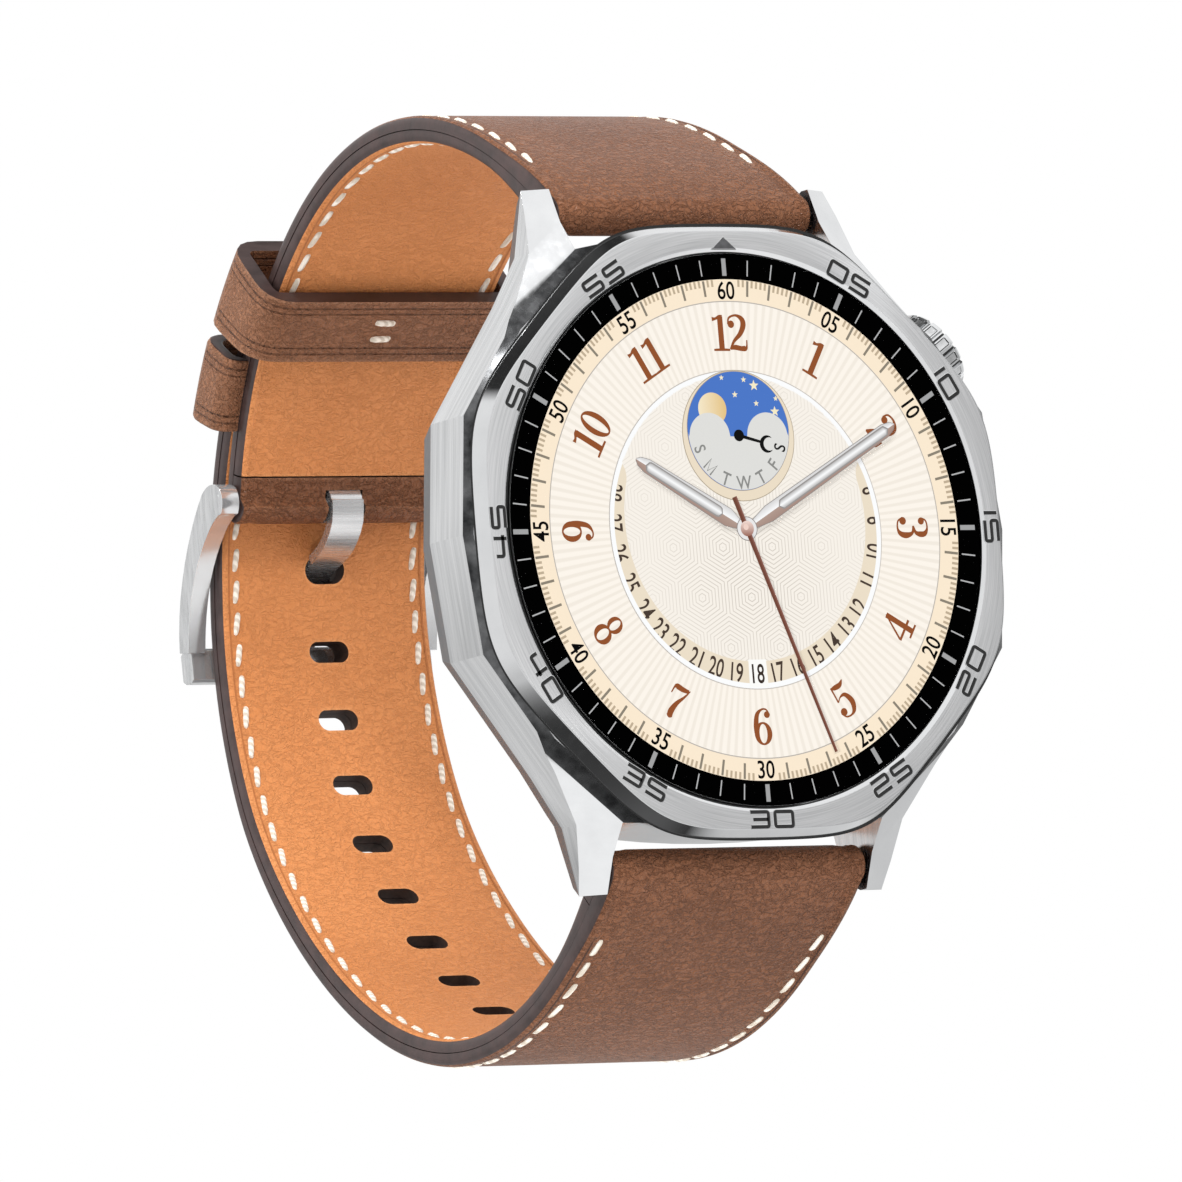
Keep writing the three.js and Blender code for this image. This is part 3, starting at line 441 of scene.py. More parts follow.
class Art:
    """Flat coloured shapes in the dial's plane, gathered into one mesh."""

    def __init__(self):
        self.verts = []
        self.faces = []
        self.colours = []

    def add(self, points, faces, layer, colours):
        base = len(self.verts)
        if isinstance(colours, str):
            colours = [rgba(colours)] * len(points)
        self.verts += [(x, DIAL_Y - LAYER * layer, z) for x, z in points]
        self.faces += [tuple(base + i for i in f) for f in faces]
        self.colours += colours

    def polygon(self, points, layer, colour):
        self.add(points, [range(len(points))], layer, colour)

    def band(self, inner, outer, layer, colour):
        """A strip between two lines of the same number of points."""
        n = len(inner)
        faces = [(i, i + 1, n + i + 1, n + i) for i in range(n - 1)]
        self.add(list(inner) + list(outer), faces, layer, colour)

    def annulus(self, r0, r1, layer, colour, start=0.0, stop=360.0, steps=180):
        angles = [start + (stop - start) * i / steps for i in range(steps + 1)]
        self.band([clock(r0, a) for a in angles], [clock(r1, a) for a in angles], layer, colour)

    def disc(self, radius, layer, colour, middle=(0, 0), steps=96):
        self.polygon(circle(radius, steps, middle), layer, colour)

    def tick(self, degrees_cw, r0, r1, width, layer, colour):
        a = math.radians(degrees_cw)
        side = (math.cos(a) * width / 2, -math.sin(a) * width / 2)
        ends = [clock(r0, degrees_cw), clock(r1, degrees_cw)]
        points = [(ends[0][0] - side[0], ends[0][1] - side[1]), (ends[1][0] - side[0], ends[1][1] - side[1]),
                  (ends[1][0] + side[0], ends[1][1] + side[1]), (ends[0][0] + side[0], ends[0][1] + side[1])]
        self.polygon(points, layer, colour)

    def ribbon(self, points, widths, layer, colour):
        inner, outer = ribbon_sides(points, widths)
        self.band(inner, outer, layer, colour)

    def build(self, name, material, **options):
        piece = add_object(name, self.verts, self.faces, material, smooth=False, **options)
        layer = piece.data.color_attributes.new("paint", "FLOAT_COLOR", "POINT")
        layer.data.foreach_set("color", [c for colour in self.colours for c in colour])
        return piece


def ribbon_sides(points, widths):
    """The two edges of a line of changing width."""
    inner = []
    outer = []
    count = len(points)
    for i, (x, z) in enumerate(points):
        before = points[max(i - 1, 0)]
        after = points[min(i + 1, count - 1)]
        dx, dz = after[0] - before[0], after[1] - before[1]
        length = math.hypot(dx, dz) or 1.0
        w = widths[i] / 2
        inner.append((x - dz / length * w, z + dx / length * w))
        outer.append((x + dz / length * w, z - dx / length * w))
    return inner, outer


def spline(points, per=8):
    """A smooth line through (x, z, width) points."""
    points = np.array(points, float)
    padded = np.vstack([2 * points[0] - points[1], points, 2 * points[-1] - points[-2]])
    made = []
    for i in range(1, len(padded) - 2):
        p0, p1, p2, p3 = padded[i - 1:i + 3]
        for k in range(per):
            t = k / per
            made.append(0.5 * (2 * p1 + (p2 - p0) * t + (2 * p0 - 5 * p1 + 4 * p2 - p3) * t * t
                               + (3 * p1 - p0 - 3 * p2 + p3) * t ** 3))
    made.append(padded[-2])
    return [tuple(p) for p in made]


def dot(x, z, r):
    return ("dot", x, z, r)


def loop(x, z, a, b, a2, b2):
    """An oval ring with half sizes a, b outside and a2, b2 inside."""
    return ("loop", x, z, a, b, a2, b2)


# Serif numerals on a unit-high cell: strokes of (x, y, width), discs, and open loops.
SERIF = {
    "0": [loop(0, 0.5, 0.29, 0.51, 0.13, 0.455)],
    "1": [[(0.02, 0, 0.175), (0.02, 0.5, 0.175), (0.02, 0.96, 0.175)],
          [(0.105, 0.99, 0.02), (0.0, 0.955, 0.09), (-0.13, 0.895, 0.075), (-0.24, 0.885, 0.12)],
          [(-0.24, 0.03, 0.06), (-0.1, 0.035, 0.07), (0.14, 0.035, 0.07), (0.28, 0.03, 0.06)]],
    "2": [dot(-0.19, 0.74, 0.105),
          [(-0.29, 0.74, 0.05), (-0.24, 0.92, 0.06), (-0.02, 0.985, 0.07), (0.17, 0.88, 0.15),
           (0.2, 0.7, 0.17),
           (0.08, 0.47, 0.14), (-0.13, 0.27, 0.09), (-0.26, 0.05, 0.06)],
          [(-0.27, 0.06, 0.06), (-0.12, 0.1, 0.14), (0.1, 0.065, 0.14), (0.22, 0.075, 0.15),
           (0.27, 0.13, 0.06),
           (0.285, 0.3, 0.04)]],
    "3": [dot(-0.19, 0.8, 0.1), dot(-0.2, 0.2, 0.11),
          [(-0.28, 0.8, 0.04), (-0.2, 0.95, 0.05), (0.0, 0.985, 0.06), (0.15, 0.9, 0.14), (0.175, 0.75, 0.16),
           (0.12, 0.6, 0.1), (-0.06, 0.53, 0.05)],
          [(-0.06, 0.53, 0.05), (0.13, 0.49, 0.09), (0.2, 0.29, 0.17), (0.15, 0.1, 0.14), (0.0, 0.015, 0.06),
           (-0.2, 0.05, 0.05), (-0.29, 0.2, 0.04)]],
    "4": [[(0.09, 0.0, 0.16), (0.09, 0.5, 0.16), (0.09, 0.98, 0.16)],
          [(0.1, 0.99, 0.04), (-0.1, 0.66, 0.055), (-0.31, 0.3, 0.06)],
          [(-0.33, 0.285, 0.075), (0.0, 0.285, 0.075), (0.31, 0.285, 0.075)],
          [(-0.12, 0.03, 0.06), (0.1, 0.035, 0.07), (0.3, 0.03, 0.06)]],
    "5": [dot(-0.2, 0.2, 0.11),
          [(-0.21, 0.93, 0.05), (-0.08, 0.9, 0.14), (0.1, 0.89, 0.14), (0.25, 0.98, 0.03)],
          [(-0.2, 0.96, 0.055), (-0.205, 0.7, 0.05), (-0.21, 0.5, 0.05)],
          [(-0.21, 0.5, 0.03), (-0.07, 0.6, 0.05), (0.1, 0.58, 0.12), (0.2, 0.33, 0.17), (0.13, 0.1, 0.13),
           (-0.02, 0.015, 0.06), (-0.2, 0.05, 0.05), (-0.3, 0.2, 0.04)]],
    "6": [dot(0.17, 0.83, 0.095), loop(0.01, 0.31, 0.285, 0.32, 0.125, 0.265),
          [(0.255, 0.83, 0.04), (0.15, 0.97, 0.05), (0.0, 0.97, 0.06), (-0.15, 0.83, 0.13),
           (-0.205, 0.55, 0.16),
           (-0.205, 0.32, 0.15)]],
    "7": [[(-0.25, 0.66, 0.04), (-0.22, 0.84, 0.06), (-0.15, 0.9, 0.16), (0.05, 0.9, 0.15),
           (0.25, 0.93, 0.1)],
          [(0.28, 0.97, 0.03), (0.17, 0.72, 0.07), (0.02, 0.45, 0.13), (-0.05, 0.2, 0.18),
           (-0.045, 0.06, 0.18)],
          [(-0.135, 0.07, 0.06), (-0.045, 0.045, 0.13), (0.045, 0.07, 0.06)]],
    "8": [loop(0, 0.745, 0.235, 0.255, 0.105, 0.205), loop(0, 0.27, 0.285, 0.28, 0.13, 0.22)],
}
# A nine is a six turned half round.
SERIF["9"] = [(s[0], -s[1], 1 - s[2], *s[3:]) if isinstance(s, tuple)
              else [(-x, 1 - y, w) for x, y, w in s] for s in SERIF["6"]]


class Placing:
    """Places drawings of (right, up) in mm on the dial at a clock angle, tops outwards or inwards."""

    def __init__(self, radius, degrees_cw, inward=False, lift=0.0):
        a = math.radians(degrees_cw)
        flip = -1 if inward else 1
        x, z = clock(radius, degrees_cw)
        self.middle = (x, z + lift)
        self.up = (math.sin(a) * flip, math.cos(a) * flip)
        self.right = (math.cos(a) * flip, -math.sin(a) * flip)

    def __call__(self, x, y):
        return (self.middle[0] + x * self.right[0] + y * self.up[0],
                self.middle[1] + x * self.right[1] + y * self.up[1])


def tops_inward(degrees_cw):
    return 95 < degrees_cw % 360 < 265


def draw_serif(art, text, place, height, layer, colour):
    advance = 0.60 * height
    width = {"1": 0.86}
    total = sum(advance * width.get(c, 1) for c in text)
    x = -total / 2
    for char in text:
        step = advance * width.get(char, 1)
        middle = x + step / 2
        x += step
        for shape in SERIF[char]:
            if isinstance(shape, list):
                line = spline(shape)
                points = [place(middle + px * height, (py - 0.5) * height) for px, py, _ in line]
                art.ribbon(points, [max(w, 0.01) * height for _, _, w in line], layer, colour)
            elif shape[0] == "dot":
                around = [place(middle + (shape[1] + shape[3] * math.cos(t)) * height,
                                (shape[2] - 0.5 + shape[3] * math.sin(t)) * height)
                          for t in turns(20)]
                art.polygon(around, layer, colour)
            else:
                _, cx, cy, *sizes = shape
                outer, inner = ([place(middle + (cx + a * math.cos(t)) * height,
                                       (cy - 0.5 + b * math.sin(t)) * height)
                                 for t in np.linspace(0, 2 * math.pi, 41)] for a, b in (sizes[:2], sizes[2:]))
                art.band(inner, outer, layer, colour)


FONT_CACHE = {}


def plain_text(text):
    """A word in Blender's own font as flat points and faces, one unit high, centred."""
    if text not in FONT_CACHE:
        curve = bpy.data.curves.new("word", "FONT")
        curve.body = text
        curve.size = 1.0
        curve.offset = 0.012
        curve.resolution_u = 5
        word = bpy.data.objects.new("word", curve)
        mesh = bpy.data.meshes.new_from_object(word)
        points = np.array([v.co[:2] for v in mesh.vertices])
        low, high = points.min(0), points.max(0)
        points = (points - (low + high) / 2) / (high[1] - low[1])
        FONT_CACHE[text] = (points, [tuple(p.vertices) for p in mesh.polygons])
        bpy.data.objects.remove(word)
        bpy.data.curves.remove(curve)
        bpy.data.meshes.remove(mesh)
    return FONT_CACHE[text]


def draw_word(art, text, place, height, layer, colour, narrow=0.74):
    points, faces = plain_text(text)
    art.add([place(x * height * narrow, y * height) for x, y in points], faces, layer, colour)


# Radii on the dial, in mm.
DIAL_RADIUS = 19.98
MINUTE_TRACK = (16.5, 18.15)
MINUTE_NUMBERS = 17.34
HOUR_NUMBERS = 14.25
CENTRE_RING = 11.5
DATES = 11.12

TODAY = 18
DATE_HEIGHT = 1.42
DATE_NARROW = 0.66
WHEEL_LIFT = 0.68


def make_dial():
    paint = shows("dial_paint", art_colour)
    art = Art()
    art.disc(DIAL_RADIUS, 0, "020202", steps=180)
    for minute in range(60):
        angle = minute * 6
        if minute % 5:
            art.tick(angle, 18.45, 19.6, 0.1, 1, "B9B9B9")
        else:
            art.tick(angle, 18.4, 19.66, 0.36, 1, "A5A5A5")
    art.annulus(*MINUTE_TRACK, 1, "FEECD2")
    for step in range(300):
        angle = step * 1.2
        from_number = abs((angle + 15) % 30 - 15)
        if from_number < 3.3:
            continue
        if step % 5 == 0:
            art.tick(angle, 16.95, 18.1, 0.19, 3, "8E8576")
        else:
            art.tick(angle, 17.62, 18.13, 0.18, 2, "C3B096")
    for k in range(12):
        text = "60" if k == 0 else f"{k * 5:02d}"
        angle = k * 30
        draw_word(art, text, Placing(MINUTE_NUMBERS, angle, tops_inward(angle)), 1.32, 3, "0C0C0C", 0.84)
    art.annulus(MINUTE_TRACK[0], MINUTE_TRACK[0] + 0.08, 3, "BDB6AE")
    art.annulus(CENTRE_RING, CENTRE_RING + 0.07, 3, "C9C2BA")
    for hour in range(1, 13):
        angle = hour * 30
        draw_serif(art, str(hour), Placing(HOUR_NUMBERS, angle, tops_inward(angle)), 2.62, 3, "955430")
    # Date wheel, turning about a point above the middle, seen through a crescent.
    art.annulus(8.8, 11.3, 1, "EFE1CA", start=60, stop=300, steps=120)
    for day in range(8, 29):
        if day == TODAY:
            continue
        steps = abs(day - TODAY)
        turn = min(steps, 6) * 9.15 + max(steps - 6, 0) * 11.5
        spot = Placing(DATES, 180 + math.copysign(turn, day - TODAY), True, WHEEL_LIFT)
        draw_word(art, str(day), spot, DATE_HEIGHT, 1.5, "4A3D35", DATE_NARROW)
    art.annulus(11.13, 11.5, 4, "FFFFFF")
    # Small dial with a moon.
    sub = (0.0, 6.8)
    sky = (0.0, 7.14)
    art.disc(4.76, 5, "B3A58F", sub)
    art.disc(4.7, 6, "EFE0C8", sub)
    art.disc(4.34, 7, "A99C88", sky)
    art.disc(4.3, 8, "4E79C9", sky)
    stars = [(-1.06, 4.2, 0.22), (0.81, 4.05, 0.24), (1.65, 3.62, 0.42), (-0.03, 2.97, 0.26),
             (1.73, 2.32, 0.24),
             (3.42, 2.67, 0.22), (3.26, 1.73, 0.4)]
    for x, z, size in stars:
        points = [clock(size if i % 2 == 0 else size * 0.42, 36 * i) for i in range(10)]
        art.polygon([(sub[0] + x + px, sub[1] + z + pz) for px, pz in points], 9, "F8EDC9")
    moon = circle(1.2, 48)
    moon_colours = [shade_between("F8EACB", "E7C584", 0.5 + x / 2.4) for x, _ in moon]
    art.add([(sub[0] - 2.05 + x, sub[1] + 1.93 + z) for x, z in moon], [range(48)], 9, moon_colours)
    ground = []
    for x in np.linspace(-4.3, 4.3, 121):
        side = -2.45 if x < 0 else 2.45
        hump = 1.72 ** 2 - (x - side) ** 2
        top = sub[1] - 0.06 + (math.sqrt(hump) if hump > 0 else 0.0)
        rim = 4.28 ** 2 - (x - sky[0]) ** 2
        half = math.sqrt(max(rim, 0.0))
        ground.append((x, min(top, sky[1] + half), sky[1] - half))
    art.band([(x, low) for x, _, low in ground], [(x, max(top, low)) for x, top, low in ground], 10, "E2E1DD")
    for letter, angle in zip("SMTWTFS", (252, 227.5, 203, 178, 153, 129, 107)):
        place = Placing(3.56, angle, True, sub[1] + 0.15)
        if letter == "M":
            corners = ((-0.36, -0.48), (-0.34, 0.48), (0.0, -0.4), (0.34, 0.48), (0.36, -0.48))
            art.ribbon([place(x, y) for x, y in corners], [0.13] * 5, 11, "8E8E8B")
            continue
        points, faces = plain_text(letter)
        colour = "1A1A1A" if angle == 107 else "8E8E8B"
        art.add([place(x * 0.84, y * 0.98) for x, y in points], faces, 11, colour)
    pointer = math.radians(104.5)
    aim = (math.sin(pointer), math.cos(pointer))
    art.ribbon([sub, (sub[0] + aim[0] * 1.95, sub[1] + aim[1] * 1.95)], [0.26, 0.2], 12, "151515")
    art.disc(0.43, 13, "151515", sub, 32)
    tip = (sub[0] + aim[0] * 2.52, sub[1] + aim[1] * 2.52)
    crescent = [(tip[0] + 0.55 * math.cos(t), tip[1] + 0.55 * math.sin(t))
                for t in np.linspace(0.95, 5.35, 25)]
    art.ribbon(crescent, [0.03 + 0.3 * math.sin(math.pi * i / 24) for i in range(25)], 12, "151515")
    art.build("dial_picture", paint, slot="display")

    rays = Art()
    rays.annulus(CENTRE_RING, 16.55, 2, "FFFFFF", steps=240)
    rays.build("dial_sunray_ring", shows("dial_sunray", sunray_colour), slot="display")
    middle = Art()
    outline = []
    for i in range(180):
        angle = i * 2 - 180
        if abs(angle) < 64:
            outline.append(clock(11.2, angle))
            continue
        a = math.radians(angle)
        r = 10.22
        reach = WHEEL_LIFT * math.cos(a) + math.sqrt(r * r - (WHEEL_LIFT * math.sin(a)) ** 2)
        blend = min(1.0, (abs(angle) - 64) / 5.0)
        outline.append(clock(11.2 + (reach - 11.2) * math.sqrt(blend), angle))
    middle.polygon(outline, 4, "FFFFFF")
    middle.build("dial_guilloche", shows("dial_guilloche_lines", guilloche_colour), slot="display")
    window = Art()
    window.polygon([(-0.8, -11.4), (0.8, -11.4), (0.75, -9.4), (-0.75, -9.4)], 4.5, "FFFEFA")
    draw_word(window, str(TODAY), Placing(10.42, 180, True), DATE_HEIGHT, 5, "3A302A", DATE_NARROW)
    window.build("dial_date_window", paint, slot="display")


def hand_shape(length, root, wide, narrow):
    """Half outline of a tapered hand with a point 1 mm long: (along, half width)."""
    return [(0.55, 0.28), (root, wide / 2), (length - 1.0, narrow / 2), (length - 0.3, narrow * 0.3),
            (length, 0.03)]


def make_hands():
    paint = shows("hand_paint", art_colour)
    art = Art()

    def along(angle, distance, side):
        a = math.radians(angle)
        return (distance * math.sin(a) + side * math.cos(a), distance * math.cos(a) - side * math.sin(a))

    def outline_of(angle, half, spread):
        return ([along(angle, d, w + spread) for d, w in half]
                + [along(angle, d, -w - spread) for d, w in reversed(half)])

    shade = Art()
    hour_hand = (300, 10.3, 1.75, 1.34, 1.02, (2.35, 9.3, 0.68))
    minute_hand = (60.5, 15.35, 2.3, 1.2, 0.98, (3.4, 14.6, 0.6))
    for angle, length, root, wide, narrow, groove in (hour_hand, minute_hand):
        half = hand_shape(length, root, wide, narrow)
        low_side = 1 if angle < 180 else -1
        for spread, alpha in ((0.34, 0.05), (0.22, 0.08), (0.1, 0.12)):
            ring = [(x + 0.1, z - 0.2) for x, z in outline_of(angle, half, spread)]
            shade.polygon(ring, 13.6 + spread, [(0.05, 0.03, 0.02, alpha)] * len(ring))
        art.polygon(outline_of(angle, half, 0.045), 14, "8F8A88")
        bright = [along(angle, d, 0) for d, _ in half]
        upper = [along(angle, d, -low_side * w) for d, w in half]
        lower = [along(angle, d, low_side * w) for d, w in half]
        art.band(bright, upper, 15, [rgba("FFFFFF")] * len(half) + [rgba("D9D7D6")] * len(half))
        art.band(bright, lower, 15, [rgba("B59C90")] * len(half) + [rgba("A98E83")] * len(half))
        start, stop, width = groove
        steps = 40
        for grow, layer, edge, core in ((0.1, 16, "9C9896", "9C9896"), (0.0, 17, "B9B7B6", "FFFFFF")):
            centre, left, right = [], [], []
            for i in range(steps + 1):
                d = start - grow + (stop - start + 2 * grow) * i / steps
                r = width / 2 + grow
                end = min(d - (start - grow), (stop + grow) - d)
                w = r if end >= r else math.sqrt(max(r * r - (r - end) ** 2, 0))
                centre.append(along(angle, d, 0))
                left.append(along(angle, d, w))
                right.append(along(angle, d, -w))
            n = len(centre)
            art.band(centre, left, layer, [rgba(core)] * n + [rgba(edge)] * n)
            art.band(centre, right, layer, [rgba(core)] * n + [rgba(edge)] * n)
    seconds = 159.6
    for spread, alpha in ((0.16, 0.08), (0.06, 0.14)):
        strip = [along(seconds, -2.5, 0), along(seconds, 17.2, 0)]
        a, b = ribbon_sides([(x + 0.12, z - 0.14) for x, z in strip], [0.36 + spread * 2] * 2)
        shade.polygon(a + b[::-1], 17.6 + spread, [(0.05, 0.03, 0.02, alpha)] * 4)
    line = [along(seconds, d, 0) for d in (-2.5, 0, 17.25)]
    art.ribbon(line, [0.42, 0.4, 0.24], 18, "74483A")
    left, _ = ribbon_sides(line, [0.42, 0.4, 0.24])
    art.band(line, left, 18.3, [rgba("74483A")] * 3 + [rgba("94655A")] * 3)
    art.disc(0.88, 16.5, "8D8582", (0, 0.05), 40)
    art.disc(0.82, 17.1, "EDEBEA", (0, 0.05), 40)
    ball = circle(0.56, 40)
    colours = [shade_between("F6DCD2", "9A6455", 0.5 - z / 1.12) for _, z in ball]
    art.add([(x, z + 0.05) for x, z in ball], [range(40)], 19, colours)
    art.disc(0.22, 20, "F3D5C9", (-0.1, 0.16), 24)
    art.build("dial_hands", paint, slot="display")

    m = Mat("hand_shadow", Roughness=0.6)
    m.node("VertexColor", layer_name="paint")
    source = m.tree.nodes[-1]
    m.put(m.bsdf.inputs["Base Color"], source.outputs[0])
    m.put(m.bsdf.inputs["Alpha"], source.outputs[1])
    shade.build("dial_hand_shadows", m.data, slot="display")


# ---------- bezel and glass ----------
SHARPNESS = 16
BEZEL_TOP = -12.15
BEZEL_STEPS = 720
ENGRAVING_RADIUS = 20.95


def octagon(half_width, angle):
    """Radius of a soft-cornered octagon; a higher sharpness gives tighter corners."""
    total = sum(abs(math.cos(angle - k * math.pi / 4)) ** SHARPNESS for k in range(4))
    return half_width * total ** (-1 / SHARPNESS)


STROKES = {
    "0": [[(0, 0), (1, 0), (1, 1), (0, 1), (0, 0)]],
    "1": [[(0.5, 0), (0.5, 1)]],
    "2": [[(0, 1), (1, 1), (1, 0.5), (0, 0.5), (0, 0), (1, 0)]],
    "3": [[(0, 1), (1, 1), (1, 0), (0, 0)], [(0.14, 0.5), (1, 0.5)]],
    "4": [[(0, 0.85), (0, 0.3), (1.02, 0.3)], [(0.86, 1), (0.86, 0)]],
    "5": [[(1, 1), (0, 1), (0, 0.5), (1, 0.5), (1, 0), (0, 0)]],
}


def rounded_line(points, radius, steps=4):
    """A polyline with its corners turned into short arcs."""
    closed = points[0] == points[-1]
    body = points[:-1] if closed else points
    n = len(body)
    made = []
    for i, p in enumerate(body):
        if not closed and i in (0, n - 1):
            made.append(p)
            continue
        a, b = body[i - 1], body[(i + 1) % n]
        corner = Vector(p)
        to_a = (Vector(a) - corner).normalized() * min(radius, (Vector(a) - corner).length / 2)
        to_b = (Vector(b) - corner).normalized() * min(radius, (Vector(b) - corner).length / 2)
        for k in range(steps + 1):
            t = k / steps
            q = corner + to_a * (1 - t) ** 2 + to_b * t ** 2
            made.append((q.x, q.y))
    if closed:
        made.append(made[0])
    return made


def engraved(verts, faces, slots, place, points, width):
    """A drawn groove: a dark strip with bright sloping sides, standing a hair above the metal."""
    closed = points[0] == points[-1]
    pts = points[:-1] if closed else points
    n = len(pts)
    base = len(verts)
    offsets = (-width / 2 - 0.05, -width / 2, width / 2, width / 2 + 0.05)
    heights = (0.002, 0.012, 0.012, 0.002)
    for i, p in enumerate(pts):
        before = pts[i - 1] if closed else pts[max(i - 1, 0)]
        after = pts[(i + 1) % n] if closed else pts[min(i + 1, n - 1)]
        dx, dy = after[0] - before[0], after[1] - before[1]
        length = math.hypot(dx, dy) or 1.0
        for off, up in zip(offsets, heights):
            x, z = place(p[0] - dy / length * off, p[1] + dx / length * off)
            verts.append((x, BEZEL_TOP - up, z))
    for i in range(n if closed else n - 1):
        j = (i + 1) % n
        for k in range(3):
            faces.append((base + i * 4 + k, base + i * 4 + k + 1, base + j * 4 + k + 1, base + j * 4 + k))
            slots.append(1 if k == 1 else 0)


def make_bezel():
    top = turned_steel("bezel_turned_steel", 0.4)
    polish = mirror_steel("bezel_polish")
    # Near black: the fill of the engraved numbers, and also the painted shade of the seam ring below.
    dark = moulded("engraving_fill_and_seam_shade", "060606", "131313", 0.5, 3000)
    profile = [(20.06, -11.2), (20.06, -11.98), (20.1, -12.02), (20.42, BEZEL_TOP), (20.5, BEZEL_TOP),
               (21.6, BEZEL_TOP), (21.7, BEZEL_TOP + 0.03), (22.15, -11.12), (22.2, -11.02), (22.1, -10.98),
               (20.95, -10.98), (20.95, -9.82), (19.42, -9.82), (19.42, -11.04), (20.06, -11.04),
               (20.06, -11.2)]
    slots = [1, 1, 1, 0, 0, 1, 1, 1, 1, 1, 1, 1, 1, 1, 1]

    def radius_of(i, radius, angle):
        return octagon(radius, angle) if 5 <= i <= 9 else radius

    ring = lathe("bezel", profile, [top, polish], BEZEL_STEPS, "brushed_steel", slots, radius_of, sharp=18)
    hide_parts("bezel_ring")
    # A flat near-black ring laid at the bezel's foot: the seam between bezel and case, darkened as painted
    # shade of its gap.
    verts, faces = [], []
    for k in range(BEZEL_STEPS):
        turn = 2 * math.pi * k / BEZEL_STEPS
        for width, y in ((22.16, -11.02), (22.34, -11.02)):
            r = octagon(width, turn)
            verts.append((r * math.cos(turn), y, r * math.sin(turn)))
        j = (k + 1) % BEZEL_STEPS
        faces.append((2 * k, 2 * k + 1, 2 * j + 1, 2 * j))
    add_object("bezel_seam_painted_shade", verts, faces, dark, "watch", "rubber", smooth=False)
    verts, faces, face_slots = [], [], []
    wide, high, gap = 1.5, 1.08, 0.56
    for k in range(1, 12):
        angle = k * 30
        place = Placing(ENGRAVING_RADIUS, angle, tops_inward(angle))
        text = f"{k * 5:02d}"
        widths = [0.0 if c == "1" else wide for c in text]
        total = sum(widths) + gap
        x = -total / 2
        for char, w in zip(text, widths):
            for stroke in STROKES[char]:
                line = [(x + (px * w if w else 0), (py - 0.5) * high) for px, py in stroke]
                line = rounded_line(line, 0.17)
                engraved(verts, faces, face_slots, place, line, 0.26)
            x += w + gap
    place = Placing(20.68, 0)
    triangle = [(-1.02, -0.38), (1.02, -0.38), (0.0, 0.46), (-1.02, -0.38)]
    base = len(verts)
    for x, y in triangle[:3]:
        px, pz = place(x, y)
        verts.append((px, BEZEL_TOP - 0.008, pz))
    faces.append((base, base + 1, base + 2))
    face_slots.append(2)
    engraved(verts, faces, face_slots, place, triangle, 0.07)
    grey = moulded("marker_grey", "353537", "4A4A4C", 0.35, 2000)
    add_object("bezel_numbers", verts, faces, [polish, dark, grey], slot="display", smooth=False,
               indices=face_slots)


def make_glass():
    m = Mat("sapphire_glass", IOR=1.01, Transmission_Weight=1.0)
    smear = m.noise(120, 3, 0.6)
    glass = m.set(Base_Color=rgba("FDFEFF"), Roughness=m.ramp(smear, 0.35, 0.8, 0.0, 0.015))
    profile = [(0.0, -12.2), (19.9, -12.2), (19.99, -12.21), (20.0, -12.22), (20.0, -12.225), (19.8, -12.25),
               (0.0, -12.25)]
    pane = lathe("glass_pane", profile, glass, 240, "sapphire", sharp=20)
    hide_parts("crystal")
    wall = moulded("glass_frit", "050505", "0D0D0D", 0.3)
    rim = [(19.97, -11.9), (20.03, -11.9), (20.03, -12.19), (19.97, -12.19), (19.97, -11.9)]
    lathe("glass_edge", rim, wall, 240, "composite")


